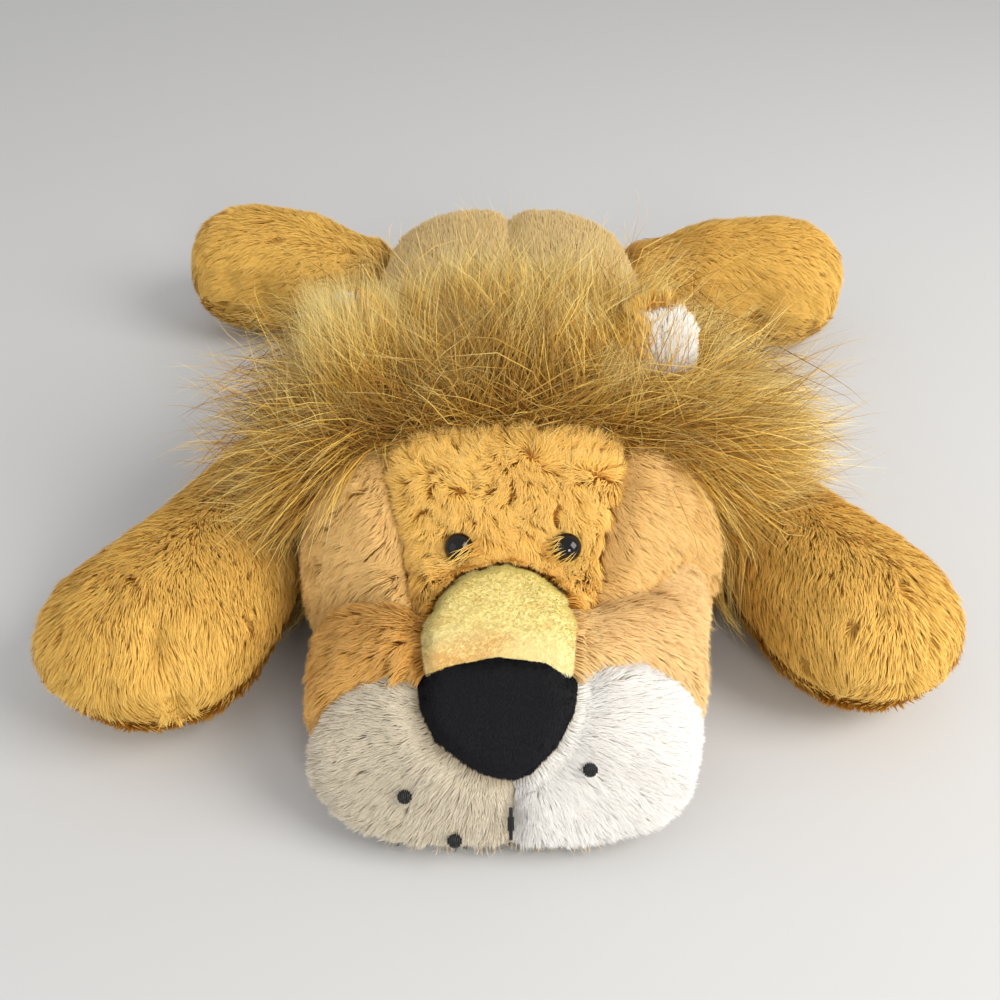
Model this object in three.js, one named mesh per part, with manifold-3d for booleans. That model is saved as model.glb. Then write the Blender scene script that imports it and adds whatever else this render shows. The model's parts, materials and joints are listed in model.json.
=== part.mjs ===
// A plush lion lying flat on its belly: head to the front (-Y), back up (+Z), its own left side at +X.
// Each sewn part is a form that swells and tapers, with a thick cover cut into cloth panels along
// its seams and a stuffing inside. The outer surface is the tip of the fur.
import * as THREE from "three";
import { mergeVertices } from "three/addons/utils/BufferGeometryUtils.js";
import Module from "manifold-3d";

const wasm = await Module();
wasm.setup();

// Driving dimensions, in millimetres. Tables of shares are parts of these lengths.
const gap = 0.3;
const coverThickness = 5;
const floorDip = 0.5;
const thinnest = 1;
const mergeTolerance = 0.001;
const overrun = 300;
const simplifyWithin = 0.12;

const torsoX = 5;
const torsoFront = -12;
const torsoLength = 184;
const torsoHalfWidth = 72;
const torsoHeight = 79;
const torsoFullness = 2.7;
const torsoBellyShare = 0.42;
const bellySeamHeight = 16;

const neckX = 7;
const neckForward = 3;
const neckY = torsoFront - neckForward;
const neckRadius = 36;
const neckFloorRoom = 6;
const neckZ = neckRadius + neckFloorRoom;
const neckHalfWidth = 52;
const neckCoverOverlap = 8;
const nodDegrees = 25;
const nodSpareDegrees = 2;

const headX = 9;
const headTurnDegrees = 2.5;
const headLength = 205;
const headOverNeck = 6;
const headFront = neckY + headOverNeck - headLength;
const headHalfWidth = 82;
const headHeight = 104;
const headFullness = 2.5;
const headBellyShare = 0.42;
const faceX = 1.5;
const mouthSeamShare = 0.0256;
const undersideHeight = 9;
const foreheadLowShare = 0.385;

const maneX = 8;
const maneFrontShare = 0.5756;
const maneLength = 134;
const maneSpread = 32;
const maneRise = 12;
const maneFullness = 2.3;
const maneBellyShare = 0.5;
const maneHem = 67;

const tailOut = 4;
const tailHeightShare = 0.3924;
const tailRadius = 8;
const tailBallRadius = 10;
const tailBallSlack = 0.9;
const tailCoverThickness = 2.5;
const tailReach = 88;
const tailBack = 28;
const tuftRadius = 12;
const tuftLength = 46;

const earAcrossShare = 0.811;
const earAlongShare = 0.7902;
const earHeightShare = 0.8365;
const earHalfWidth = 19;
const earHalfHeight = 21;
const earHalfThickness = 6;
const earSink = 2;
const earHemRadius = 5;
const earHemHalfLength = 13;
const earTurnDegrees = 24;
const earLeanDegrees = 34;
const earRoomAcross = 7;
const earRoomAbove = 12;
const earRoomAround = 17.5;
const earRoomBelow = 1;
const earRoomForward = 1;

const eyeAcrossShares = { left: 0.2683, right: -0.1951 };
const eyeAlongShare = 0.3927;
const eyeHeightShare = 0.7163;
const eyeRadius = 5.5;
const eyeRise = 4.5;
const eyeStemRadius = 1.6;
const eyeStemLength = 13;
const eyeWasherRadius = 6.5;
const eyeWasherThickness = 1.6;
const eyeWasherDepth = 8.5;
const eyeLeanDegrees = 38;

// Places on the head: across share of its half-width, along share of its length, share of its height.
const dotShares = {
  whisker_dot_left: [0.339, 0.0654, 0.3712],
  whisker_dot_right_upper: [-0.4012, 0.0537, 0.2615],
  whisker_dot_right_lower: [-0.2012, 0.0171, 0.1375],
};
const dotRadius = 2.6;
const dotHalfThickness = 1.2;
const dotLeanDegrees = 63;
const mouthStitchRadius = 1.1;
const mouthStitchLength = 13;
const mouthStitchAlongShare = 0.0244;
const mouthStitchHeightShare = 0.1971;
const mouthStitchLeanDegrees = 27;

const noseTopShares = [-0.0305, 0.178, 0.651];
const noseHalfWidth = 28;
const noseHeight = 46;
const noseLeanDegrees = 55;
const noseReach = 16;
const bridgeTopShares = [-0.0244, 0.3732, 0];
const bridgeHalfWidth = 27.5;
const bridgeLength = 46;

const radians = THREE.MathUtils.degToRad;
const quarterTurn = Math.PI / 2;

// Rings along each form, front to back: along share, half-width share, underside share, top share,
// and the share of the height by which a seam pulls the middle of the top in.
const headShares = [
  [0.0, 0.0, 0.1, 0.1, 0.0],
  [0.008, 0.36, 0.04, 0.155, 0.01],
  [0.035, 0.63, 0.0, 0.255, 0.015],
  [0.085, 0.79, 0.0, 0.44, 0.0],
  [0.155, 0.84, 0.0, 0.64, 0.0],
  [0.22, 0.875, 0.0, 0.675, 0.0],
  [0.385, 0.91, 0.0, 0.71, 0.0],
  [0.42, 0.96, 0.0, 0.79, 0.0],
  [0.48, 1.0, 0.0, 0.89, 0.0],
  [0.56, 1.0, 0.0, 0.965, 0.0],
  [0.66, 0.91, 0.0, 1.0, 0.0],
  [0.84, 0.69, 0.0, 0.95, 0.0],
  [0.95, 0.53, 0.04, 0.83, 0.0],
  [1.0, 0.0, 0.4, 0.4, 0.0],
];
const torsoShares = [
  [0.0, 0.0, 0.4, 0.4, 0.0],
  [0.03, 0.5, 0.14, 0.65, 0.0],
  [0.1, 0.76, 0.02, 0.78, 0.0],
  [0.21, 0.88, 0.0, 0.9, 0.0],
  [0.4, 0.97, 0.0, 0.98, 0.01],
  [0.62, 1.0, 0.0, 1.0, 0.03],
  [0.79, 0.97, 0.0, 0.98, 0.045],
  [0.88, 0.88, 0.0, 0.92, 0.05],
  [0.95, 0.68, 0.02, 0.79, 0.045],
  [0.988, 0.38, 0.14, 0.6, 0.03],
  [1.0, 0.0, 0.36, 0.36, 0.0],
];
const maneShares = [
  [0.0, 0.0, 0.72, 0.72, 0.0],
  [0.03, 0.68, 0.37, 0.85, 0.0],
  [0.13, 0.94, 0.28, 0.945, 0.0],
  [0.32, 1.0, 0.26, 0.995, 0.0],
  [0.55, 0.93, 0.32, 1.0, 0.0],
  [0.76, 0.75, 0.43, 0.98, 0.0],
  [0.9, 0.54, 0.56, 0.935, 0.0],
  [0.97, 0.35, 0.67, 0.9, 0.0],
  [1.0, 0.0, 0.8, 0.8, 0.0],
];
// Rings along a leg from the middle of its root ball: along share, girth share.
const frontLegShares = [
  [0.0, 0.66],
  [0.3, 0.79],
  [0.52, 0.88],
  [0.7, 0.98],
  [0.81, 1.0],
  [0.9, 0.87],
  [0.96, 0.63],
  [0.99, 0.34],
  [1.0, 0.0],
];
const hindLegShares = [
  [0.0, 0.79],
  [0.22, 0.93],
  [0.42, 0.97],
  [0.6, 1.0],
  [0.76, 0.95],
  [0.88, 0.78],
  [0.95, 0.56],
  [0.988, 0.3],
  [1.0, 0.0],
];
const legs = {
  front_leg_left: {
    side: 1,
    acrossShare: 1.0694,
    alongShare: 0.0924,
    splayDegrees: 23,
    length: 180,
    halfWidth: 40,
    height: 64,
    shares: frontLegShares,
  },
  front_leg_right: {
    side: -1,
    acrossShare: 1.1667,
    alongShare: 0.1522,
    splayDegrees: 18.1,
    length: 197.5,
    halfWidth: 43,
    height: 64,
    shares: frontLegShares,
  },
  hind_leg_left: {
    side: 1,
    acrossShare: 1.1667,
    alongShare: 0.8043,
    splayDegrees: 84,
    length: 103,
    halfWidth: 39,
    height: 74,
    shares: hindLegShares,
  },
  hind_leg_right: {
    side: -1,
    acrossShare: 1.2083,
    alongShare: 0.8424,
    splayDegrees: 94,
    length: 95,
    halfWidth: 38,
    height: 73,
    shares: hindLegShares,
  },
};
const legFullness = 2;
const legBellyShare = 0.47;
const legSeamShare = 0.34;
const pawMiddleShare = 0.72;

// Seams of the head seen from above: across share of its half-width, along share of its length.
const foreheadSeamShares = [
  [0.35, 0.26],
  [0.46, 0.42],
  [0.54, 0.5],
  [0.58, 0.7],
];
const cheekSeamShares = [
  [-1.6, 0.4],
  [-0.89, 0.385],
  [-0.72, 0.355],
  [-0.51, 0.325],
  [-0.3, 0.29],
  [0.3, 0.29],
  [0.63, 0.355],
  [0.89, 0.425],
  [1.6, 0.44],
];
const padSeamShares = [
  [-1.6, 0.16],
  [-0.78, 0.158],
  [-0.52, 0.165],
  [-0.35, 0.147],
  [0.32, 0.147],
  [0.37, 0.17],
  [0.55, 0.198],
  [0.8, 0.186],
  [1.6, 0.18],
];
const maneSeamAlongShare = 0.6;
const frontCornerShare = 1.6;
// The bridge of the nose seen from above and the nose seen square on, half-width and length shares.
const bridgeSeamShares = [
  [-0.88, 1.06],
  [-0.98, 0.62],
  [-0.8, 0.28],
  [-0.45, 0.08],
  [0.0, 0.0],
  [0.45, 0.05],
  [0.82, 0.24],
  [0.98, 0.52],
  [0.88, 1.06],
];
const noseSeamShares = [
  [-1.0, 0.19],
  [-0.57, 0.07],
  [0.0, 0.0],
  [0.57, 0.04],
  [0.97, 0.19],
  [0.92, 0.42],
  [0.71, 0.68],
  [0.44, 0.87],
  [0.17, 0.99],
  [-0.3, 0.87],
  [-0.74, 0.66],
  [-0.94, 0.41],
];

// Points of the tail's middle line: shares of its reach to the left, of its reach back and, below its
// root, of its root's height.
const tailPathShares = [
  [0.0, 0.0, 0.0],
  [0.04, 0.5, -0.18],
  [0.18, 0.86, -0.5],
  [0.42, 1.0, -0.74],
  [0.72, 0.98, -0.76],
  [1.0, 0.9, -0.62],
];

const headSides = 24;
const torsoSides = 20;
const maneSides = 20;
const legSides = 12;
const smallSides = 10;
const neckSides = 16;
const earSides = 16;
const dishSides = 24;
const tailSteps = 9;
const eyeSteps = 4;
const rootBallSteps = 3;

function solid(geometry) {
  const bare = geometry.index ? geometry.toNonIndexed() : geometry.clone();
  bare.deleteAttribute("normal");
  bare.deleteAttribute("uv");
  const merged = mergeVertices(bare, mergeTolerance);
  return new wasm.Manifold(
    new wasm.Mesh({
      numProp: 3,
      vertProperties: merged.attributes.position.array,
      triVerts: new Uint32Array(merged.index.array),
    })
  );
}

function placed(geometry, x, y, z, turn = new THREE.Euler()) {
  const frame = new THREE.Matrix4().makeRotationFromEuler(turn).setPosition(x, y, z);
  return solid(geometry.clone().applyMatrix4(frame));
}

function superellipse(angle, fullness) {
  const power = 2 / fullness;
  const [c, s] = [Math.cos(angle), Math.sin(angle)];
  return [Math.sign(c) * Math.abs(c) ** power, Math.sign(s) * Math.abs(s) ** power];
}

// A closed surface over a list of rings of points, with a point at either end.
function skin(start, rings, end) {
  const sides = rings[0].length;
  const points = [start, ...rings.flat(), end];
  const last = points.length - 1;
  const at = (ring, i) => 1 + ring * sides + (i % sides);
  const faces = [];
  for (let i = 0; i < sides; i += 1) {
    faces.push(0, at(0, i), at(0, i + 1));
    faces.push(last, at(rings.length - 1, i + 1), at(rings.length - 1, i));
    for (let ring = 0; ring < rings.length - 1; ring += 1) {
      faces.push(at(ring, i), at(ring + 1, i), at(ring + 1, i + 1));
      faces.push(at(ring, i), at(ring + 1, i + 1), at(ring, i + 1));
    }
  }
  const geometry = new THREE.BufferGeometry();
  geometry.setAttribute("position", new THREE.Float32BufferAttribute(points.flat(), 3));
  geometry.setIndex(faces);
  return geometry;
}

// A form through rings of along, half-width, underside, top and seam dip, running towards +Y.
function loft(rings, fullness, bellyShare, sides) {
  const middleOf = ([, , low, high]) => low + (high - low) * bellyShare;
  const loops = rings.slice(1, -1).map((ring) => {
    const [along, halfWidth, low, high, dip] = ring;
    const middle = middleOf(ring);
    return Array.from({ length: sides }, (_, i) => {
      const [across, up] = superellipse((i / sides) * 2 * Math.PI, fullness);
      const rise = up * (up > 0 ? high - middle : middle - low);
      return [across * halfWidth, along, middle + rise - (4 * i === sides ? dip : 0)];
    });
  });
  const [first, last] = [rings[0], rings[rings.length - 1]];
  return skin([0, first[0], middleOf(first)], loops, [0, last[0], middleOf(last)]);
}

// The rings moved inwards by a distance, or outwards by a negative one.
function inset(rings, distance) {
  const [first, last] = [rings[0][0], rings[rings.length - 1][0]];
  const scale = (last - first - 2 * distance) / (last - first);
  return rings.map(([along, halfWidth, low, high, dip]) => {
    const middle = (low + high) / 2;
    const half = Math.max((high - low) / 2 - distance, thinnest);
    const lengthwise = first + distance + (along - first) * scale;
    return [lengthwise, Math.max(halfWidth - distance, thinnest), middle - half, middle + half, dip];
  });
}

function ringsOf(shares, start, length, halfWidth, height) {
  return shares.map(([along, across, low, high, dip]) => [
    start + along * length,
    across * halfWidth,
    low * height - floorDip,
    high * height,
    dip * height,
  ]);
}

// A leg along +Y: half a ball at its root, then the girths of the table, its paw centred at full height.
function legRings(leg) {
  const halfHeight = leg.height / 2;
  const rootShare = leg.shares[0][1];
  const ring = (along, girth) => {
    const swell = Math.max(0, girth - rootShare) / (1 - rootShare);
    const lift = along > pawMiddleShare * leg.length ? 1 : rootShare + (1 - rootShare) * swell;
    const middle = lift * halfHeight;
    const half = girth * halfHeight;
    return [along, girth * leg.halfWidth, middle - half - floorDip, middle + half, 0];
  };
  const turns = Array.from({ length: rootBallSteps }, (_, i) => (i / rootBallSteps) * quarterTurn);
  const rootReach = rootShare * leg.halfWidth;
  const ball = turns.map((turn) => ring(-rootReach * Math.cos(turn), rootShare * Math.sin(turn)));
  return [...ball, ...leg.shares.map(([along, girth]) => ring(along * leg.length, girth))];
}

// An upright prism over an outline, its sides moved outwards by a distance.
function prism(outline, low, high, grow = 0) {
  const turnsLeft = THREE.ShapeUtils.area(outline.map(([x, y]) => new THREE.Vector2(x, y))) > 0;
  const points = turnsLeft ? outline : outline.toReversed();
  const count = points.length;
  const moved = points.map(([x, y], i) => {
    const before = points[(i - 1 + count) % count];
    const after = points[(i + 1) % count];
    const [ax, ay] = [x - before[0], y - before[1]];
    const [bx, by] = [after[0] - x, after[1] - y];
    const [as, bs] = [Math.hypot(ax, ay), Math.hypot(bx, by)];
    const [nx, ny] = [ay / as + by / bs, -ax / as - bx / bs];
    const square = nx * nx + ny * ny;
    return new THREE.Vector2(x + (2 * grow * nx) / square, y + (2 * grow * ny) / square);
  });
  const shape = new THREE.Shape(moved);
  return new THREE.ExtrudeGeometry(shape, { depth: high - low, bevelEnabled: false }).translate(0, 0, low);
}

function block(x, y, z) {
  const geometry = new THREE.BoxGeometry(x[1] - x[0], y[1] - y[0], z[1] - z[0]);
  return placed(geometry, (x[0] + x[1]) / 2, (y[0] + y[1]) / 2, (z[0] + z[1]) / 2);
}

const all = [-overrun, overrun];
const below = (z) => block(all, all, [-overrun, z - gap / 2]);
const above = (z) => block(all, all, [z + gap / 2, overrun]);
const before = (y) => block(all, [-overrun, y - gap / 2], all);
const behind = (y) => block(all, [y + gap / 2, overrun], all);
const leftOf = (x) => block([x + gap / 2, overrun], all, all);
const rightOf = (x) => block([-overrun, x - gap / 2], all, all);
const aboveFloor = block(all, all, [0, overrun]);

// One form as its outside, the inside of its cover, its stuffing, and its outside grown by the gap.
function layers(make, thickness) {
  return {
    outer: make(0).intersect(aboveFloor),
    inner: make(thickness),
    fill: make(thickness + gap),
    grown: make(-gap),
  };
}

const headRings = ringsOf(headShares, headFront, headLength, headHalfWidth, headHeight);
const torsoRings = ringsOf(torsoShares, torsoFront, torsoLength, torsoHalfWidth, torsoHeight);
const maneRings = ringsOf(
  maneShares,
  headFront + maneFrontShare * headLength,
  maneLength,
  headHalfWidth + maneSpread,
  headHeight + maneRise
);
const headTurn = new THREE.Euler(0, 0, -radians(headTurnDegrees));
const headForm = (depth) => loft(inset(headRings, depth), headFullness, headBellyShare, headSides);
const head = layers((depth) => placed(headForm(depth), headX, 0, 0, headTurn), coverThickness);

function neck(depth) {
  const geometry = new THREE.SphereGeometry(1, neckSides, neckSides / 2).rotateZ(quarterTurn);
  geometry.scale(neckHalfWidth - depth, neckRadius - depth, neckRadius - depth);
  return placed(geometry, neckX, neckY, neckZ);
}

// The hollow of the head for the neck, round enough and large enough for the neck to turn in it.
function neckDish() {
  const loose = 1 / Math.cos(Math.PI / dishSides) ** 2;
  const geometry = new THREE.SphereGeometry(1, dishSides, dishSides / 2).rotateZ(quarterTurn);
  const radius = (neckRadius + gap) * loose;
  geometry.scale((neckHalfWidth + gap) * loose, radius, radius);
  return placed(geometry, neckX, neckY, neckZ);
}

const torsoForm = (depth) => loft(inset(torsoRings, depth), torsoFullness, torsoBellyShare, torsoSides);
const torso = layers((depth) => placed(torsoForm(depth), torsoX, 0, 0).add(neck(depth)), coverThickness);
const maneForm = placed(loft(maneRings, maneFullness, maneBellyShare, maneSides), maneX, 0, 0);

const hipOf = (leg) => [
  torsoX + leg.side * leg.acrossShare * torsoHalfWidth,
  torsoFront + leg.alongShare * torsoLength,
];

// The dish for a leg's root ball: as round as the ball's widest turn, and a gap larger all over.
function legDish(leg) {
  const rootShare = leg.shares[0][1];
  const halfHeight = (rootShare * leg.height) / 2;
  const loose = 1 / Math.cos(Math.PI / dishSides) ** 2;
  const geometry = new THREE.SphereGeometry(1, dishSides, dishSides / 2).rotateX(quarterTurn);
  const radius = (rootShare * leg.halfWidth + gap) * loose;
  geometry.scale(radius, radius, (halfHeight + gap) * loose);
  return placed(geometry, ...hipOf(leg), halfHeight - floorDip);
}

function legForm(leg) {
  const rings = legRings(leg);
  const turn = new THREE.Euler(0, 0, leg.side * (radians(leg.splayDegrees) - Math.PI));
  const make = (depth) =>
    placed(loft(inset(rings, depth), legFullness, legBellyShare, legSides), ...hipOf(leg), 0, turn);
  return layers(make, coverThickness);
}

// The room the back and neck need as the head nods: the outline of the back turned up about the neck.
function nodRoom() {
  const turn = radians(nodDegrees + nodSpareDegrees);
  const turned = torsoRings.slice(1, -2).map(([along, , , high]) => {
    const [y, z] = [along - neckY, high + gap - neckZ];
    return [y * Math.cos(turn) - z * Math.sin(turn), y * Math.sin(turn) + z * Math.cos(turn)];
  });
  const rear = turned[turned.length - 1][1];
  const outline = [[0, 0], [overrun, -overrun], [overrun, rear], ...turned.toReversed()];
  const frame = new THREE.Matrix4().makeBasis(
    new THREE.Vector3(0, 1, 0),
    new THREE.Vector3(0, 0, 1),
    new THREE.Vector3(1, 0, 0)
  );
  return placed(prism(outline, -overrun, overrun).applyMatrix4(frame), 0, neckY, neckZ);
}

const lion = new THREE.Group();
function add(name, body, color, roughness) {
  const mesh = body.simplify(simplifyWithin).getMesh();
  const geometry = new THREE.BufferGeometry();
  geometry.setAttribute("position", new THREE.BufferAttribute(mesh.vertProperties, 3));
  geometry.setIndex(new THREE.BufferAttribute(mesh.triVerts, 1));
  const flat = geometry.toNonIndexed();
  flat.computeVertexNormals();
  const piece = new THREE.Mesh(flat, new THREE.MeshStandardMaterial({ color, roughness, metalness: 0 }));
  piece.name = name;
  lion.add(piece);
}

const furColor = 0xd9a45c;
const paleFurColor = 0xe3bf8d;
const foreheadColor = 0xc98f4c;
const maneColor = 0xae8a4a;
const bridgeColor = 0xf0cd70;
const padColor = 0xf3efe8;
const noseColor = 0x1b1a1e;
const threadColor = 0x151515;
const eyeColor = 0x0c0b0b;
const washerColor = 0xe9e6df;
const stuffingColor = 0xf6f4ee;
const furRoughness = 1;
const velourRoughness = 0.9;
const threadRoughness = 0.7;
const glossRoughness = 0.12;

const onHead = ([across, along, up]) => [
  faceX + across * headHalfWidth,
  headFront + along * headLength,
  up * headHeight,
];

// The eyes, whisker dots and mouth stitch, each as it is or grown by the gap to make its seat.
const eyeTurn = new THREE.Euler(radians(eyeLeanDegrees), 0, 0);
const eyePlace = (side) => onHead([eyeAcrossShares[side], eyeAlongShare, eyeHeightShare]);

function eyeAt(side, margin) {
  const [radius, rise] = [eyeRadius + margin, eyeRise + margin];
  const turns = Array.from({ length: eyeSteps }, (_, i) => (i / eyeSteps) * quarterTurn);
  const dome = turns.map((turn) => new THREE.Vector2(radius * Math.cos(turn), rise * Math.sin(turn)));
  const profile = [
    new THREE.Vector2(0, -eyeStemLength - margin),
    new THREE.Vector2(eyeStemRadius + margin, -eyeStemLength - margin),
    new THREE.Vector2(eyeStemRadius + margin, -margin),
    new THREE.Vector2(radius, -margin),
    ...dome,
    new THREE.Vector2(0, rise),
  ];
  const geometry = new THREE.LatheGeometry(profile, smallSides).rotateX(quarterTurn);
  return placed(geometry, ...eyePlace(side), eyeTurn);
}

function eyeWasherAt(side, margin) {
  const [inner, outer] = [eyeStemRadius + gap - margin, eyeWasherRadius + margin];
  const low = -eyeWasherDepth - eyeWasherThickness - margin;
  const high = -eyeWasherDepth + margin;
  const corners = [[inner, low], [outer, low], [outer, high], [inner, high], [inner, low]];
  const profile = corners.map(([radius, along]) => new THREE.Vector2(radius, along));
  const geometry = new THREE.LatheGeometry(profile, smallSides).rotateX(quarterTurn);
  return placed(geometry, ...eyePlace(side), eyeTurn);
}

function dotAt(place, margin) {
  const geometry = new THREE.SphereGeometry(1, smallSides, smallSides / 2).rotateX(quarterTurn);
  geometry.scale(dotRadius + margin, dotRadius + margin, dotHalfThickness + margin);
  return placed(geometry, ...onHead(place), new THREE.Euler(radians(dotLeanDegrees), 0, 0));
}

function mouthStitch(margin) {
  const geometry = new THREE.SphereGeometry(1, smallSides, smallSides / 2);
  const radius = mouthStitchRadius + margin;
  geometry.scale(radius, radius, mouthStitchLength / 2 + margin);
  const place = onHead([mouthSeamShare, mouthStitchAlongShare, mouthStitchHeightShare]);
  return placed(geometry, ...place, new THREE.Euler(-radians(mouthStitchLeanDegrees), 0, 0));
}

// An ear is a leaf of two cloths on a rolled hem, standing in the mane.
function earPlaced(geometry, side) {
  const turn = new THREE.Euler(-radians(earLeanDegrees), 0, side * radians(earTurnDegrees), "ZYX");
  return placed(geometry, ...onHead([side * earAcrossShare, earAlongShare, earHeightShare]), turn);
}

function earLeaf(side) {
  const geometry = new THREE.SphereGeometry(1, earSides, earSides / 2);
  geometry.scale(earHalfWidth, earHalfThickness, earHalfHeight);
  return earPlaced(geometry.translate(0, 0, earHalfHeight - earSink), side);
}

// The hollow in the mane in which the ear bends, open at the top.
function earPocket(side) {
  const geometry = new THREE.SphereGeometry(1, earSides, earSides / 2);
  const halfHeight = earHalfHeight + earRoomAbove;
  geometry.scale(earHalfWidth + earRoomAcross, earHalfThickness + earRoomAround, halfHeight);
  return earPlaced(geometry.translate(0, -earRoomForward, halfHeight - earSink - earRoomBelow), side);
}

function earHem(side, margin) {
  const length = 2 * (earHemHalfLength + margin);
  const radius = earHemRadius + margin;
  const geometry = new THREE.CylinderGeometry(radius, radius, length, smallSides);
  return earPlaced(geometry.rotateZ(quarterTurn), side);
}

function earHalf(side, front) {
  const y = front ? [-overrun, -gap / 2] : [gap / 2, overrun];
  const geometry = new THREE.BoxGeometry(2 * overrun, overrun, 2 * overrun);
  return earPlaced(geometry.translate(0, (y[0] + y[1]) / 2, 0), side);
}

// The tail is a thin curling limb with a tuft, lying behind the rump.
const tailRoot = [torsoX, torsoFront + torsoLength + tailOut, tailHeightShare * torsoHeight];
const tailPath = new THREE.CatmullRomCurve3(
  tailPathShares.map(
    ([x, y, z]) =>
      new THREE.Vector3(tailRoot[0] + x * tailReach, tailRoot[1] + y * tailBack, tailRoot[2] * (1 + z))
  )
);

function tailTube(radius, stretch) {
  const upright = new THREE.Vector3(0, 0, 1);
  const frames = Array.from({ length: tailSteps + 1 }, (_, i) => {
    const along = tailPath.getTangentAt(i / tailSteps);
    const across = new THREE.Vector3().crossVectors(along, upright).normalize();
    const up = new THREE.Vector3().crossVectors(across, along);
    const centre = tailPath.getPointAt(i / tailSteps);
    return { centre, across, up, along };
  });
  const end = frames[tailSteps];
  end.centre.addScaledVector(end.along, stretch);
  const loops = frames.slice(1).map(({ centre, across, up }) =>
    Array.from({ length: smallSides }, (_, k) => {
      const turn = (k / smallSides) * 2 * Math.PI;
      const point = centre.clone().addScaledVector(across, radius * Math.cos(turn));
      return point.addScaledVector(up, radius * Math.sin(turn)).toArray();
    })
  );
  const tip = end.centre.clone().addScaledVector(end.along, gap);
  return solid(skin(frames[0].centre.toArray(), loops, tip.toArray()));
}

function tailBall(margin) {
  return placed(new THREE.SphereGeometry(tailBallRadius + margin, smallSides, smallSides), ...tailRoot);
}

function tuft() {
  const along = tailPath.getTangentAt(1);
  const centre = tailPath.getPointAt(1);
  const turn = new THREE.Euler().setFromQuaternion(
    new THREE.Quaternion().setFromUnitVectors(new THREE.Vector3(1, 0, 0), along)
  );
  const geometry = new THREE.SphereGeometry(1, smallSides, smallSides).rotateZ(quarterTurn);
  geometry.scale(tuftLength / 2, tuftRadius, tuftRadius);
  return placed(geometry, centre.x, centre.y, centre.z, turn);
}

// The head: its cover is cut into panels along the seams, the front ones first.
const nodCut = nodRoom().add(neckDish());
let deepSeats = earHem(1, gap).add(earHem(-1, gap));
for (const side of Object.keys(eyeAcrossShares)) {
  deepSeats = deepSeats.add(eyeAt(side, gap)).add(eyeWasherAt(side, gap));
}
let seats = deepSeats.add(mouthStitch(gap));
for (const place of Object.values(dotShares)) {
  seats = seats.add(dotAt(place, gap));
}

const seamPoint = ([across, along]) => onHead([across, along, 0]).slice(0, 2);
const seamVolume = (points, low, grow) => placed(prism(points.map(seamPoint), low, overrun, grow), 0, 0, 0);
const toFront = (seam) => [
  [-frontCornerShare, -frontCornerShare],
  [frontCornerShare, -frontCornerShare],
  ...seam.toReversed(),
];
const foreheadOutline = [...foreheadSeamShares, ...foreheadSeamShares.toReversed().map(([x, y]) => [-x, y])];
const bridgeOutline = bridgeSeamShares.map(([x, y]) => [x * bridgeHalfWidth, -y * bridgeLength]);
const noseOutline = noseSeamShares.map(([x, y]) => [x * noseHalfWidth, -y * noseHeight]);
const noseTurn = new THREE.Euler(radians(noseLeanDegrees), 0, 0);
const volumes = {
  nose: (grow) => placed(prism(noseOutline, -noseReach, noseReach, grow), ...onHead(noseTopShares), noseTurn),
  bridge: (grow) => placed(prism(bridgeOutline, 0, overrun, grow), ...onHead(bridgeTopShares)),
  pads: (grow) => seamVolume(toFront(padSeamShares), 0, grow),
  cheeks: (grow) => seamVolume(toFront(cheekSeamShares), 0, grow),
  forehead: (grow) => seamVolume(foreheadOutline, foreheadLowShare * headHeight, grow),
};

const headShell = head.outer.subtract(head.inner).subtract(nodCut).subtract(seats);
let rest = headShell.intersect(above(undersideHeight));
function take(volume) {
  const piece = rest.intersect(volume(-gap / 2));
  rest = rest.subtract(volume(gap / 2));
  return piece;
}
const nose = take(volumes.nose);
const bridge = take(volumes.bridge);
const pads = take(volumes.pads);
const [mouthSeamX] = onHead([mouthSeamShare, 0, 0]);
const cheeks = take(volumes.cheeks);
const maneSeamY = headFront + maneSeamAlongShare * headLength;
const headBack = rest.intersect(behind(maneSeamY));
rest = rest.intersect(before(maneSeamY));
const forehead = take(volumes.forehead);

add("forehead", forehead, foreheadColor, furRoughness);
add("face_side_left", rest.intersect(leftOf(faceX)), furColor, furRoughness);
add("face_side_right", rest.intersect(rightOf(faceX)), furColor, furRoughness);
add("cheek_left", cheeks.intersect(leftOf(faceX)), furColor, furRoughness);
add("cheek_right", cheeks.intersect(rightOf(faceX)), furColor, furRoughness);
add("nose_bridge", bridge, bridgeColor, velourRoughness);
add("nose", nose, noseColor, velourRoughness);
add("muzzle_pad_left", pads.intersect(leftOf(mouthSeamX)), padColor, furRoughness);
add("muzzle_pad_right", pads.intersect(rightOf(mouthSeamX)), padColor, furRoughness);
add("head_underside", headShell.intersect(below(undersideHeight)), paleFurColor, furRoughness);
add("head_back", headBack, furColor, furRoughness);
add("head_stuffing", head.fill.subtract(nodCut).subtract(deepSeats), stuffingColor, furRoughness);
for (const side of Object.keys(eyeAcrossShares)) {
  add(`eye_${side}`, eyeAt(side, 0), eyeColor, glossRoughness);
  add(`eye_washer_${side}`, eyeWasherAt(side, 0), washerColor, threadRoughness);
}
for (const [name, place] of Object.entries(dotShares)) {
  add(name, dotAt(place, 0), threadColor, threadRoughness);
}
add("mouth_stitch", mouthStitch(0), threadColor, threadRoughness);

let mane = maneForm.subtract(head.grown).subtract(nodCut).intersect(above(maneHem));
for (const [side, sign] of Object.entries({ left: 1, right: -1 })) {
  mane = mane.subtract(earPocket(sign)).subtract(earHem(sign, gap));
  const leaf = earLeaf(sign);
  const lining = leaf.subtract(earHem(sign, gap)).intersect(earHalf(sign, true));
  const back = leaf.intersect(earHalf(sign, false)).add(earHem(sign, 0));
  add(`ear_lining_${side}`, lining, padColor, furRoughness);
  add(`ear_${side}`, back, furColor, furRoughness);
}
add("mane", mane, maneColor, furRoughness);

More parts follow.
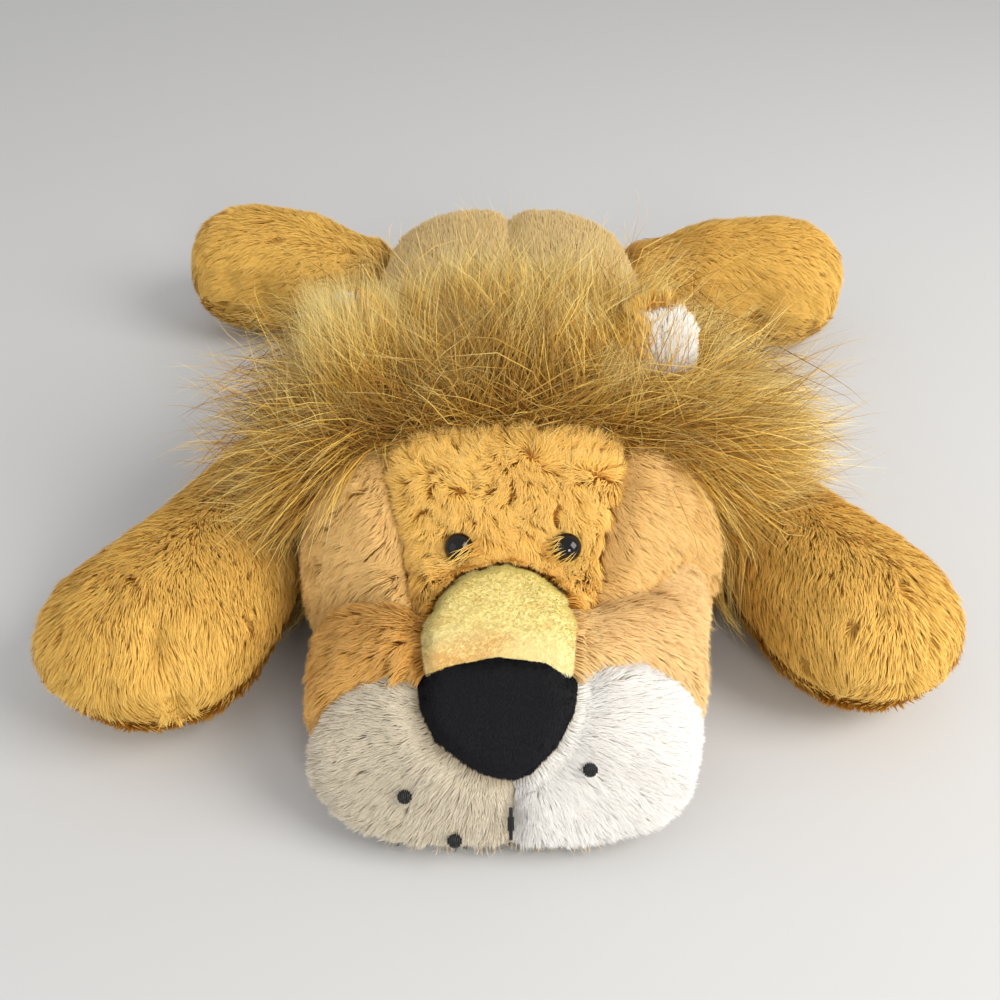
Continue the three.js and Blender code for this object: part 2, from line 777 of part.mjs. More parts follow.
// The body with its dishes for the legs and tail, and the legs cut where the head lies over them.
let bodyShell = torso.outer.subtract(torso.inner).subtract(tailBall(tailBallSlack));
let bodyFill = torso.fill.subtract(tailBall(tailBallSlack));
for (const [name, leg] of Object.entries(legs)) {
  const form = legForm(leg);
  bodyShell = bodyShell.subtract(legDish(leg));
  bodyFill = bodyFill.subtract(legDish(leg));
  const cover = form.outer.subtract(form.inner).subtract(head.grown);
  const seam = leg.height * legSeamShare;
  add(`${name}_cover`, cover.intersect(above(seam)), furColor, furRoughness);
  add(`${name}_sole`, cover.intersect(below(seam)), paleFurColor, furRoughness);
  add(`${name}_stuffing`, form.fill.subtract(head.grown), stuffingColor, furRoughness);
}
const neckSeamY = torsoFront + neckCoverOverlap;
const trunk = bodyShell.intersect(behind(neckSeamY));
const back = trunk.intersect(above(bellySeamHeight));
add("neck_cover", bodyShell.intersect(before(neckSeamY)), furColor, furRoughness);
add("belly", trunk.intersect(below(bellySeamHeight)), paleFurColor, furRoughness);
add("back_left", back.intersect(leftOf(torsoX)), paleFurColor, furRoughness);
add("back_right", back.intersect(rightOf(torsoX)), paleFurColor, furRoughness);
add("torso_stuffing", bodyFill, stuffingColor, furRoughness);

// The tail's cover is open at its tip, where its stuffing goes in and the tuft closes it.
const tail = tailTube(tailRadius, 0).add(tailBall(0)).intersect(aboveFloor);
const tailHollow = tailTube(tailRadius - tailCoverThickness, 2 * tailRadius);
const tailFill = tailTube(tailRadius - tailCoverThickness - gap, -tailRadius);
const tailTuft = tuft().intersect(aboveFloor).subtract(tailTube(tailRadius + gap, gap));
add("tail_cover", tail.subtract(tailHollow), furColor, furRoughness);
add("tail_stuffing", tailFill, stuffingColor, furRoughness);
add("tail_tuft", tailTuft, maneColor, furRoughness);

// The frame: the middle of the bottom of the box around the whole lion.
const box = new THREE.Box3().setFromObject(lion);
const centre = box.getCenter(new THREE.Vector3());
for (const piece of lion.children) piece.geometry.translate(-centre.x, -centre.y, -box.min.z);

export default lion;
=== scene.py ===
"""A plush lion lying on its belly: sewn panels of short plush, velour and long mane fabric.

Every panel is a backing cloth with its pile as real strands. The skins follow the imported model.
"""

import json
import math

import bpy
import numpy as np
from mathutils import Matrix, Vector
from mathutils.bvhtree import BVHTree
from mathutils.kdtree import KDTree


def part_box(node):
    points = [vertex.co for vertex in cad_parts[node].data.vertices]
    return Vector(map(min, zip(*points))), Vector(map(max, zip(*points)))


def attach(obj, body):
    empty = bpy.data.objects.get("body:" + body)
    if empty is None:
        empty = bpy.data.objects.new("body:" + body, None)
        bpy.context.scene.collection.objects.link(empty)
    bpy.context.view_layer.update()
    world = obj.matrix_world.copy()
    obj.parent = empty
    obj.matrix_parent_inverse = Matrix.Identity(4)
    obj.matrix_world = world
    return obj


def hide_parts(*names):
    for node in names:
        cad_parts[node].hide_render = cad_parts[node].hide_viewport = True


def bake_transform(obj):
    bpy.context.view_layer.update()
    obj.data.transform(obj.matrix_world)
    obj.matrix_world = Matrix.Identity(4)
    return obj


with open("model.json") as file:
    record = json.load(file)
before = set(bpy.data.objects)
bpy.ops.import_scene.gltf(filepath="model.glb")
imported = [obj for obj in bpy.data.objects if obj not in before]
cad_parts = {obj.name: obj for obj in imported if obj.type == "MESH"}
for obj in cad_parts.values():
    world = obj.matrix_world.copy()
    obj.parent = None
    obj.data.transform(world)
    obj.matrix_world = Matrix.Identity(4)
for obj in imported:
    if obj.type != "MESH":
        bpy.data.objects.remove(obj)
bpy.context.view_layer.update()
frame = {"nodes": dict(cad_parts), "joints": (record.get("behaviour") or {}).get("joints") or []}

# Sizes in metres, angles in degrees.
MM = 0.001
UP = np.array([0.0, 0.0, 1.0])
FLOOR_CLEAR = 0.25 * MM
PILE_MAP = "OFBake"
OUTER_WAY = {"left": 1, "right": -1}  # along X

# The camera: where it stands, how far it looks down and how wide it sees.
CAMERA_PLACE = (-7.34 * MM, -411.7 * MM, 330 * MM)
CAMERA_PITCH = 40
CAMERA_WIDTH_OF_VIEW = 50
CAMERA_SENSOR = 36


def rng_for(name):
    """A random generator that always gives the same numbers for the same name."""
    return np.random.default_rng(sum((i + 1) * ord(letter) for i, letter in enumerate(name)))


def unit(vectors):
    """Rows of vectors at length 1."""
    return vectors / np.maximum(np.linalg.norm(vectors, axis=-1, keepdims=True), 1e-9)


def waves(points, size, seed):
    """Smooth noise from -1 to 1 over points, with features of about the given size."""
    rng = np.random.default_rng(seed)
    total = np.zeros(len(points))
    for _ in range(9):
        direction = unit(rng.normal(size=3)) * rng.uniform(0.6, 1.5) * 2 * math.pi / size
        total += np.sin(points @ direction + rng.uniform(0, 2 * math.pi))
    return np.clip(total / 4, -1, 1)


# Shader helpers

MIX_FIRST, MIX_SECOND, MIX_RESULT = 6, 7, 2  # the colour sockets of a mix node


class Value:
    """A number socket on which sums are written as plain expressions."""

    def __init__(self, shader, socket):
        self.shader = shader
        self.socket = socket

    def _math(self, operation, first, second):
        sockets = [x.socket if isinstance(x, Value) else x for x in (first, second)]
        node = self.shader.node("ShaderNodeMath", {"operation": operation}, {0: sockets[0], 1: sockets[1]})
        return Value(self.shader, node.outputs[0])

    def __add__(self, other):
        return self._math("ADD", self, other)

    def __radd__(self, other):
        return self._math("ADD", other, self)

    def __sub__(self, other):
        return self._math("SUBTRACT", self, other)

    def __rsub__(self, other):
        return self._math("SUBTRACT", other, self)

    def __mul__(self, other):
        return self._math("MULTIPLY", self, other)

    def __rmul__(self, other):
        return self._math("MULTIPLY", other, self)


class Shader:
    """The node tree of a material or a sky, with one method that adds any node."""

    def __init__(self, owner):
        owner.use_nodes = True
        self.owner = owner
        self.tree = owner.node_tree

    def node(self, kind, settings=None, values=None):
        """Adds a node: its settings first, then a value or a link for each socket named."""
        made = self.tree.nodes.new(kind)
        for key, setting in (settings or {}).items():
            if key == "stops":
                ramp = made.color_ramp
                while len(ramp.elements) < len(setting):
                    ramp.elements.new(1.0)
                for element, (place, colour) in zip(ramp.elements, setting):
                    element.position = place
                    element.color = (*colour, 1)
            else:
                setattr(made, key, setting)
        for key, value in (values or {}).items():
            self.put(made.inputs[key], value)
        return made

    def put(self, socket, value):
        """Sets a socket to a value, or links it."""
        if isinstance(value, Value):
            value = value.socket
        if isinstance(value, bpy.types.NodeSocket):
            self.tree.links.new(value, socket)
        elif isinstance(value, tuple) and len(value) == 3 and socket.type == "RGBA":
            socket.default_value = (*value, 1)
        else:
            socket.default_value = value

    def noise(self, place, scale, detail=2.0, dimensions="3D"):
        """Noise over a place: its socket."""
        values = {"Vector": place, "Scale": scale, "Detail": detail}
        return self.node("ShaderNodeTexNoise", {"noise_dimensions": dimensions}, values).outputs[0]

    def mixed(self, first, second, share, blend="MIX"):
        """Two colours mixed by a share: the mixture's socket."""
        settings = {"data_type": "RGBA", "blend_type": blend}
        values = {"Factor": share, MIX_FIRST: first, MIX_SECOND: second}
        return self.node("ShaderNodeMix", settings, values).outputs[MIX_RESULT]

    def bump(self, height, strength, distance):
        """Small relief: its socket."""
        values = {"Strength": strength, "Distance": distance, "Height": height}
        return self.node("ShaderNodeBump", None, values).outputs[0]

    def finish(self, values, node="Principled BSDF"):
        """Sets the sockets of a node that was there from the start."""
        for key, value in values.items():
            self.put(self.tree.nodes[node].inputs[key], value)
        return self.owner


def shader_for(name):
    """A new material's shader."""
    return Shader(bpy.data.materials.new(name))


def srgb(red, green, blue):
    """A colour given as 0 to 255 as a picture shows it, as the linear colour that a shader reads."""

    def linear(part):
        share = part / 255
        return share / 12.92 if share <= 0.04045 else ((share + 0.055) / 1.055) ** 2.4

    return (linear(red), linear(green), linear(blue))


# Materials

PILE_STOPS = (0.0, 0.3, 0.66, 1.0)  # from root to tip
STREAKS = (160.0, 9.0, 1.0)  # streaks across and along the pile map


def pile_material(name, colours, tone, roughness=0.75, sheen=0.15, grain=0.2, shade=None):
    """Pile: the colour runs from root to tip along each strand, and each strand has its own tone.

    Strands of a low tone also turn towards the shade colour, if there is one.
    """
    shader = shader_for(name)
    colours = [srgb(*colour) for colour in colours]
    place = shader.node("ShaderNodeUVMap", {"uv_map": PILE_MAP}).outputs[0]
    parts = shader.node("ShaderNodeSeparateXYZ", None, {0: place})
    strand_tone, along = Value(shader, parts.outputs[0]), Value(shader, parts.outputs[1])
    stops = {"stops": list(zip(PILE_STOPS, colours))}
    own_colour = shader.node("ShaderNodeValToRGB", stops, {0: along}).outputs[0]
    if shade:
        own_colour = shader.mixed(own_colour, srgb(*shade), 0.85 - strand_tone * 2.0)
    scaled = shader.node("ShaderNodeVectorMath", {"operation": "MULTIPLY"}, {0: place, 1: STREAKS}).outputs[0]
    streak_tone = Value(shader, shader.noise(scaled, 1.0, 3.0, "2D"))
    level = 1.0 - tone / 2 + strand_tone * tone + (streak_tone - 0.5) * grain
    return shader.finish(
        {
            "Base Color": shader.mixed(own_colour, level, 1.0, "MULTIPLY"),
            "Roughness": roughness - along * 0.12,
            "Specular IOR Level": 0.25,
            "Sheen Weight": sheen,
            "Sheen Roughness": 0.45,
            "Sheen Tint": (*colours[2], 1),
        }
    )


def gloss_material(name, colour, shine):
    """Polished moulded plastic with the faint ripple of its mould."""
    shader = shader_for(name)
    ripple = shader.noise(shader.node("ShaderNodeTexCoord").outputs["Object"], 240.0, 4.0)
    return shader.finish(
        {
            "Base Color": srgb(*colour),
            "Roughness": 0.05 + Value(shader, ripple) * 0.06,
            "Specular IOR Level": shine,
            "Coat Weight": shine,
            "Coat Roughness": 0.03,
            "Normal": shader.bump(ripple, 0.04, 0.3 * MM),
        }
    )


def thread_material(name, colour):
    """Embroidery thread: lightly shining, with a fine twist along the strand."""
    shader = shader_for(name)
    place = shader.node("ShaderNodeUVMap", {"uv_map": PILE_MAP}).outputs[0]
    values = {"Vector": place, "Scale": 9.0, "Distortion": 1.2, "Detail": 2.0}
    twist = shader.node("ShaderNodeTexWave", {"bands_direction": "DIAGONAL"}, values).outputs[0]
    toned = shader.mixed(srgb(*colour), 0.65 + Value(shader, twist) * 0.6, 1.0, "MULTIPLY")
    relief = shader.bump(twist, 0.35, 0.2 * MM)
    return shader.finish({"Base Color": toned, "Roughness": 0.42, "Normal": relief})


def fibre_material(name, colour):
    """Polyester stuffing: white, with the lumps and wisps of loose fibre."""
    shader = shader_for(name)
    place = shader.node("ShaderNodeTexCoord").outputs["Object"]
    wisps, lumps = Value(shader, shader.noise(place, 420.0, 6.0)), Value(shader, shader.noise(place, 90.0))
    toned = shader.mixed(srgb(*colour), 0.85 + lumps * 0.2, 1.0, "MULTIPLY")
    relief = shader.bump(wisps * 0.4 + lumps, 0.6, 2 * MM)
    return shader.finish({"Base Color": toned, "Roughness": 0.95, "Normal": relief})


# Each pile's colours at the root, low on the strand, on most of it and at the tip, how much its
# strands differ in tone, and its other looks.
# Darker roots are partly painted shade deep in the pile, most of all in the mane.
PILE_LOOKS = {
    "gold_plush": [(210, 158, 74), (225, 176, 82), (238, 192, 92), (247, 208, 118), 0.16, {"grain": 0.12}],
    "forehead_plush": [(196, 130, 50), (230, 172, 78), (248, 200, 98), (254, 220, 136), 0.16],
    "face_plush": [(206, 154, 84), (226, 178, 102), (238, 196, 120), (247, 212, 146), 0.1],
    # Painted shade: a darker copy of the face colour, for the cheek on the less lit side.
    "cheek_plush": [(178, 118, 46), (208, 150, 68), (226, 172, 88), (240, 196, 120), 0.14],
    # Painted light: a lighter copy of the face colour, for the cheek on the lit side.
    "lit_face_plush": [(214, 168, 102), (233, 190, 122), (243, 206, 140), (250, 219, 163), 0.1],
    "tan_plush": [(196, 159, 100), (210, 177, 116), (222, 191, 130), (234, 208, 154), 0.08],
    "white_plush": [(224, 217, 203), (236, 231, 222), (243, 240, 235), (248, 246, 243), 0.07],
    # Painted shade: a darker, warmer copy of the white, for the muzzle pad on the less lit side and the
    # head's underside.
    "shaded_white_plush": [(186, 170, 142), (200, 185, 158), (213, 201, 177), (228, 219, 199), 0.07],
    "mane_pile": [
        (98, 48, 14), (176, 120, 44), (236, 195, 92), (253, 238, 170), 0.6,
        {"roughness": 0.5, "sheen": 0.05, "shade": (176, 120, 52)},
    ],
    "tuft_pile": [
        (184, 132, 62), (196, 144, 70), (212, 164, 82), (242, 214, 142), 0.4,
        {"roughness": 0.5, "sheen": 0.05},
    ],
    "yellow_velour": [
        (254, 240, 176), (255, 244, 186), (255, 249, 204), (255, 253, 226), 0.08,
        {"grain": 0.1, "shade": (242, 182, 52)},
    ],
    "black_velour": [(14, 13, 16), (20, 19, 23), (28, 27, 32), (40, 39, 46), 0.2, {"sheen": 0.1}],
}
MATERIALS = {
    name: pile_material(name, looks[:4], looks[4], **(looks[5] if len(looks) > 5 else {}))
    for name, looks in PILE_LOOKS.items()
}
MATERIALS["eye_gloss"] = gloss_material("eye_gloss", (14, 10, 8), 0.3)
MATERIALS["washer_nylon"] = gloss_material("washer_nylon", (224, 220, 210), 0.5)
MATERIALS["black_thread"] = thread_material("black_thread", (18, 17, 20))
MATERIALS["stuffing_fibre"] = fibre_material("stuffing_fibre", (244, 242, 236))

# Skins: the outer surface of each sewn form, smooth and closed

MERGE_REACH = 0.01 * MM


def activate(*things):
    """Only these objects are selected afterwards, and the first is active."""
    bpy.ops.object.select_all(action="DESELECT")
    for thing in things:
        thing.select_set(True)
    bpy.context.view_layer.objects.active = things[0]


def linked(name, data):
    """A new object in the scene."""
    made = bpy.data.objects.new(name, data)
    bpy.context.scene.collection.objects.link(made)
    return made


def edited(thing, *steps):
    """Runs steps of mesh editing on all of an object."""
    activate(thing)
    bpy.ops.object.mode_set(mode="EDIT")
    bpy.ops.mesh.select_all(action="SELECT")
    for step, settings in steps:
        step(**settings)
    bpy.ops.object.mode_set(mode="OBJECT")


def modified(thing, kind, **settings):
    """Applies one modifier to an object."""
    activate(thing)
    modifier = thing.modifiers.new(kind.lower(), kind)
    for key, value in settings.items():
        setattr(modifier, key, value)
    bpy.ops.object.modifier_apply(modifier=modifier.name)


def joined_copy(name, nodes, hull=False):
    """One merged mesh object of copies of CAD nodes, or the convex hull round them."""
    copies = [linked(node + "_copy", frame["nodes"][node].data.copy()) for node in nodes]
    activate(*copies)
    if len(copies) > 1:
        bpy.ops.object.join()
    made = bpy.context.view_layer.objects.active
    made.name = name
    steps = [(bpy.ops.mesh.remove_doubles, {"threshold": MERGE_REACH})]
    if hull:
        steps.append((bpy.ops.mesh.convex_hull, {}))
    edited(made, *steps)
    return made


def keep_largest(thing):
    """Loose parts other than the largest, such as the walls of small hollows, are removed."""
    edited(thing, (bpy.ops.mesh.separate, {"type": "LOOSE"}))
    parts = sorted(bpy.context.selected_objects, key=lambda part: len(part.data.vertices))
    for part in parts[:-1]:
        bpy.data.objects.remove(part)
    return parts[-1]


def smooth_form(name, nodes, voxel, rounds, hull=False):
    """The nodes joined into one closed surface whose facets are smoothed away."""
    form = joined_copy(name, nodes, hull)
    activate(form)
    form.data.remesh_voxel_size = voxel
    bpy.ops.object.voxel_remesh()
    form = keep_largest(form)
    modified(form, "SMOOTH", factor=0.5, iterations=rounds)
    return form


def rows_of(vertices, what):
    """The places ("co") or the directions ("normal") of vertices as rows."""
    values = np.empty(len(vertices) * 3)
    vertices.foreach_get(what, values)
    return values.reshape(-1, 3)


def points_of(mesh):
    """A mesh's corners as rows."""
    return rows_of(mesh.vertices, "co")


def normals_of(mesh):
    """A mesh's smooth normals as rows."""
    return rows_of(mesh.vertices, "normal")


def move_points(mesh, points):
    """Puts a mesh's corners at these places."""
    mesh.vertices.foreach_set("co", points.ravel())
    mesh.update()


def triangles_of(mesh):
    """A mesh's triangles as rows of corner numbers."""
    mesh.calc_loop_triangles()
    values = np.empty(len(mesh.loop_triangles) * 3, int)
    mesh.loop_triangles.foreach_get("vertices", values)
    return values.reshape(-1, 3)


def point_tree(points):
    """A search tree over points."""
    tree = KDTree(len(points))
    for i, point in enumerate(points):
        tree.insert(point, i)
    tree.balance()
    return tree


def tree_of(node):
    """A search tree over a CAD node's surface."""
    mesh = frame["nodes"][node].data
    return BVHTree.FromPolygons([v.co[:] for v in mesh.vertices], triangles_of(mesh).tolist())


CLOTH_CELL = 4.5 * MM
CLOTH_SWELL = 2.4 * MM
CLOTH_FRAMES = 20
CLOTH_PRESSURE = 4
SEAM_HOLD = 5 * MM
PANEL_BLEND = 2.5 * MM
SNAP_REACH = 2.2 * MM
TREE_REACH = 60 * MM


def cloth_moves(name, nodes, trees, points):
    """How far the cloth of a form moves at each point when its stuffing presses it out.

    A coarse copy of the form is simulated as cloth under pressure, held along its seams, and its
    moves are carried over to the points.
    """
    if len(trees) < 2:
        return np.zeros_like(points)
    form = smooth_form(name + "_cloth", nodes, CLOTH_CELL, 3)
    start = points_of(form.data)
    second = np.sort([tree_distances(tree, start) for tree in trees], axis=0)[1]
    seams = form.vertex_groups.new(name="seams")
    seams.add([int(corner) for corner in np.nonzero(second < SEAM_HOLD)[0]], 1.0, "REPLACE")
    cloth = form.modifiers.new("cloth", "CLOTH")
    cloth.settings.quality = 5
    cloth.settings.use_pressure = True
    cloth.settings.uniform_pressure_force = CLOTH_PRESSURE
    cloth.settings.effector_weights.gravity = 0
    cloth.settings.vertex_group_mass = "seams"
    cloth.point_cache.frame_end = CLOTH_FRAMES
    for number in range(1, CLOTH_FRAMES + 1):
        bpy.context.scene.frame_set(number)
    pressed = form.evaluated_get(bpy.context.evaluated_depsgraph_get())
    moves = points_of(pressed.to_mesh()) - start
    pressed.to_mesh_clear()
    bpy.context.scene.frame_set(1)
    bpy.data.objects.remove(form)
    moves *= np.minimum(1, CLOTH_SWELL / np.maximum(np.linalg.norm(moves, axis=1), 1e-9))[:, None]
    tree = point_tree(start)
    carried = np.zeros_like(points)
    for i, point in enumerate(points):
        near = tree.find_n(point, 5)
        shares = np.array([1 / (hit[2] + 0.5 * MM) for hit in near])
        carried[i] = (moves[[hit[1] for hit in near]] * shares[:, None]).sum(axis=0) / shares.sum()
    return carried


class Skin:
    """A form's smooth surface, sorted into panels and drawn in at its seams.

    The depths say how far each panel's cloth lies under the outer surface. It lies deeper at seams,
    by a share that fades over a width, and at creases and dents.
    """

    def __init__(
        self, name, depths, voxel, rounds, fill=(), seam_share=0.0, seam_width=1.0, creases=(), dents=(),
        hull=False,
    ):
        self.panels = panels = list(depths)
        form = smooth_form(name + "_form", [*panels, *fill], voxel, rounds, hull)
        outer = points_of(form.data)
        self.faces = [tuple(face.vertices) for face in form.data.polygons]
        trees = [tree_of(panel) for panel in panels]
        far = np.array([tree_distances(tree, outer) for tree in trees])
        outer = outer + cloth_moves(name, [*panels, *fill], trees, outer)
        move_points(form.data, outer)
        normals = normals_of(form.data)
        weights = np.exp(-((far / PANEL_BLEND) ** 2)) + 1e-9
        depth = np.array([depths[panel] for panel in panels]) @ (weights / weights.sum(axis=0))
        self.seam = np.full(len(outer), 1.0)
        if len(panels) > 1:
            self.seam = np.sort(far, axis=0)[1]
            depth = depth * (1 + seam_share * np.exp(-((self.seam / seam_width) ** 2)))
        for first, second, deep, wide in creases:
            both = np.maximum(far[panels.index(first)], far[panels.index(second)])
            depth = depth + deep * MM * np.exp(-((both / (wide * MM)) ** 2))
        for place, deep, wide in dents:
            depth = depth + deep * MM * spot(outer, place, wide)
        self.outer = outer
        self.points = outer - normals * depth[:, None]
        self.points[:, 2] = np.maximum(self.points[:, 2], FLOOR_CLEAR * 3)
        nearest = far.argmin(axis=0)
        self.face_panel = np.array(
            [np.bincount(nearest[list(face)], minlength=len(panels)).argmax() for face in self.faces]
        )
        self.points += self.border_moves(outer, trees)
        move_points(form.data, self.points)
        self.normals = normals_of(form.data)
        bpy.data.objects.remove(form)

    def border_moves(self, outer, trees):
        """How far each corner between two panels moves to lie on the seam between them."""
        touching = {}
        for face, panel in zip(self.faces, self.face_panel):
            for corner in face:
                touching.setdefault(corner, set()).add(panel)
        moves = np.zeros_like(outer)
        for corner, panels in touching.items():
            if len(panels) < 2:
                continue
            place = Vector(outer[corner])
            for _ in range(4):
                hits = [trees[panel].find_nearest(place)[0] for panel in panels]
                place = sum(hits, Vector()) / len(hits)
            move = np.array(place) - outer[corner]
            moves[corner] = move * min(1.0, SNAP_REACH / max(np.linalg.norm(move), 1e-9))
        return moves


def spot(points, place, size):
    """1 at a place, falling to 0 over an oval of the given half sizes, both in millimetres."""
    away = (points - np.array(place) * MM) / (np.array(size) * MM)
    return np.exp(-(np.linalg.norm(away, axis=1) ** 2))


def tree_distances(tree, points):
    """The distance from each point to a surface, up to a reach."""
    found = [tree.find_nearest(point, TREE_REACH)[3] for point in points]
    return np.array([TREE_REACH if far is None else far for far in found])


# Pile


class Pile:
    """How the strands of a panel grow. Lengths in millimetres, angles in degrees from upright."""

    def __init__(
        self,
        material,
        length,
        depth,  # of the cloth under the outer surface
        width,
        density,  # strands on a square millimetre
        lean=(20, 64),  # at the root and at the tip
        steps=2,
        tuft=3.4,  # from one tuft to the next
        pull=0.45,  # towards the tuft's own strand
        stray=16,
        partings=0.004,  # on a square millimetre
        droop=0.0,
        tone_size=26,
        mottle=1.0,
        patches=0.16,
        stains=(),
        trim=0.35,  # at a seam
    ):
        self.material, self.lean, self.steps, self.pull, self.stray = material, lean, steps, pull, stray
        self.partings, self.droop, self.mottle, self.patches = partings, droop, mottle, patches
        self.stains, self.trim = stains, trim
        self.length, self.depth, self.width = length * MM, depth * MM, width * MM
        self.tuft, self.tone_size = tuft * MM, tone_size * MM
        self.density = density / MM**2


def area_vectors(points, triangles):
    """Each triangle's direction, as long as twice its area."""
    corners = points[triangles]
    return np.cross(corners[:, 1] - corners[:, 0], corners[:, 2] - corners[:, 0])


def scatter(points, normals, triangles, density, rng, weight=None, values=None):
    """Random roots over triangles: their places and normals, and a value from each corner's."""
    area = np.linalg.norm(area_vectors(points, triangles), axis=1) / 2
    if weight is not None:
        area = area * weight(points[triangles].mean(axis=1))
    count = int(area.sum() * density)
    chosen = triangles[rng.choice(len(triangles), size=count, p=area / area.sum())]
    a, b = rng.random(count), rng.random(count)
    flip = a + b > 1
    a[flip], b[flip] = 1 - a[flip], 1 - b[flip]
    shares = np.stack([1 - a - b, a, b], axis=1)[:, :, None]
    roots = (points[chosen] * shares).sum(axis=1)
    upright = unit((normals[chosen] * shares).sum(axis=1))
    if values is None:
        return roots, upright
    return roots, upright, (values[chosen] * shares[:, :, 0]).sum(axis=1)


def nearest_index(centres, points):
    """For each point, the number of the nearest centre."""
    tree = point_tree(centres)
    return np.array([tree.find(point)[1] for point in points])


def in_surface(directions, upright):
    """Directions laid into the surface, at length 1."""
    return unit(directions - (directions * upright).sum(axis=1, keepdims=True) * upright)


def grow(roots, upright, flow, pile, length, rng, stray):
    """The middle lines of strands: rows of steps + 1 points."""
    flow = in_surface(flow, upright)
    turn = np.radians(stray)[:, None]
    flow = flow * np.cos(turn) + np.cross(upright, flow) * np.sin(turn)
    first, last = (math.radians(angle) for angle in pile.lean)
    line = [roots]
    for step in range(pile.steps):
        share = step / max(1, pile.steps - 1)
        lean = (first + (last - first) * share) * rng.uniform(0.85, 1.12, len(roots))[:, None]
        heading = upright * np.cos(lean) + flow * np.sin(lean) - UP * (pile.droop * share)
        line.append(line[-1] + unit(heading) * (length / pile.steps)[:, None])
    return np.stack(line, axis=1)


SOFT_PILE = 0.75  # how much a strand is shaded like the cloth under it
SOFT_MANE = 0.4
STRAND_ROUND = 0.35
TONES = (0.02, 0.98)
TUFT_SWIRLS = 14 * MM
SEAM_TRIM = 3.2 * MM


def strand_lines(skin, triangles, pile, nap, rng, weight=None):
    """The middle lines, tones and uprights of a panel's strands, which lean together in tufts."""
    roots, upright, seam = scatter(skin.points, skin.normals, triangles, pile.density, rng, weight, skin.seam)
    tuft_roots, tuft_upright = scatter(skin.points, skin.normals, triangles, 1 / pile.tuft**2, rng, weight)
    tuft_stray = rng.normal(0, pile.stray, len(tuft_roots)) + waves(tuft_roots, TUFT_SWIRLS, 5) * pile.stray
    tuft_length = pile.length * rng.uniform(0.86, 1.1, len(tuft_roots))
    tuft_lines = grow(tuft_roots, tuft_upright, nap(tuft_roots), pile, tuft_length, rng, tuft_stray)
    tuft_tone = rng.normal(0, 0.12, len(tuft_roots))
    tuft_pull = pile.pull * rng.uniform(0.4, 1.5, len(tuft_roots))
    own = nearest_index(tuft_roots, roots)
    length = tuft_length[own] * rng.uniform(0.8, 1.06, len(roots))
    length = length * (1 - pile.trim * np.exp(-((seam / SEAM_TRIM) ** 2)))
    stray = tuft_stray[own] * 0.7 + rng.normal(0, pile.stray * 0.6, len(roots))
    flow = nap(roots)
    if pile.partings:
        flow, length = part(roots, upright, flow, length, tuft_roots, pile, rng)
    lines = grow(roots, upright, flow, pile, length, rng, stray)
    share = (np.arange(pile.steps + 1) / pile.steps) ** 1.5
    pull = np.clip(tuft_pull[own], 0, 0.85)[:, None, None] * share[None, :, None]
    offset = (roots - tuft_roots[own])[:, None, :] * 0.15
    lines = lines * (1 - pull) + (tuft_lines[own] + offset) * pull
    tone = tuft_tone[own] + rng.normal(0, 0.14, len(roots)) + waves(roots, pile.tone_size, 11) * pile.patches
    tone = tone * pile.mottle
    for place, size, strength in pile.stains:
        tone -= strength * spot(roots, place, size)
    return lines, np.clip(0.5 + tone, *TONES), upright


def part(roots, upright, flow, length, centres, pile, rng):
    """Short partings in the pile: strands lean away from each and are shorter beside it."""
    count = max(1, int(len(centres) * pile.partings / MM**2 * pile.tuft**2))
    chosen = centres[rng.choice(len(centres), size=count, replace=False)]
    own = nearest_index(chosen, roots)
    turn = rng.uniform(-0.7, 0.7, count)[own]
    ahead = in_surface(flow, upright)
    side = np.cross(upright, ahead)
    line = ahead * np.cos(turn)[:, None] + side * np.sin(turn)[:, None]
    across = np.cross(upright, line)
    away = roots - chosen[own]
    far_along = np.abs((away * line).sum(axis=1)) / rng.uniform(2.2 * MM, 4.6 * MM, count)[own]
    far_across = (away * across).sum(axis=1) / (1.5 * MM)
    near = np.exp(-(far_along**4)) * np.exp(-(far_across**2))
    turned = ahead + across * (np.sign(far_across) * near * 2.2)[:, None]
    return turned, length * (1 - 0.35 * near)


def ribbons(lines, upright, width, tone, rng, twist=0.6, soft=SOFT_PILE):
    """Tapered ribbons along middle lines: corners, loops, sizes, pile map places and shading directions.

    A soft strand is shaded mostly like the cloth that it grows from, and rounded across its width.
    """
    count, stations = lines.shape[:2]
    steps = stations - 1
    heading = unit(lines[:, -1] - lines[:, 0])
    side = unit(np.cross(heading, upright) + 1e-6)
    other = np.cross(heading, side)
    turn = rng.uniform(-twist, twist, count)[:, None]
    side = side * np.cos(turn) + other * np.sin(turn)
    facing = unit(np.cross(side, heading)) * (1 - soft) + upright * soft
    rounded = [unit(facing - side * STRAND_ROUND), unit(facing + side * STRAND_ROUND)]
    shading = np.concatenate([np.stack(rounded * steps, axis=1), unit(facing)[:, None]], axis=1)
    taper = 1 - 0.55 * (np.arange(steps) / steps) ** 2
    half = side[:, None, :] * (width[:, None, None] * taper[None, :, None]) / 2
    left, right = lines[:, :-1] - half, lines[:, :-1] + half
    pairs = np.stack([left, right], axis=2).reshape(count, steps * 2, 3)
    corners = np.concatenate([pairs, lines[:, -1:]], axis=1)
    loops = [2 * step + corner for step in range(steps - 1) for corner in (0, 1, 3, 2)]
    loops = np.array(loops + [2 * steps - 2, 2 * steps - 1, 2 * steps])
    all_loops = (np.arange(count)[:, None] * (steps * 2 + 1) + loops).ravel()
    all_sizes = np.tile([4] * (steps - 1) + [3], count)
    along = 0.02 + 0.96 * (loops // 2) / steps
    places = np.stack([np.repeat(tone, len(loops)), np.tile(along, count)], axis=1)
    return corners.reshape(-1, 3), all_loops, all_sizes, places, shading.reshape(-1, 3)


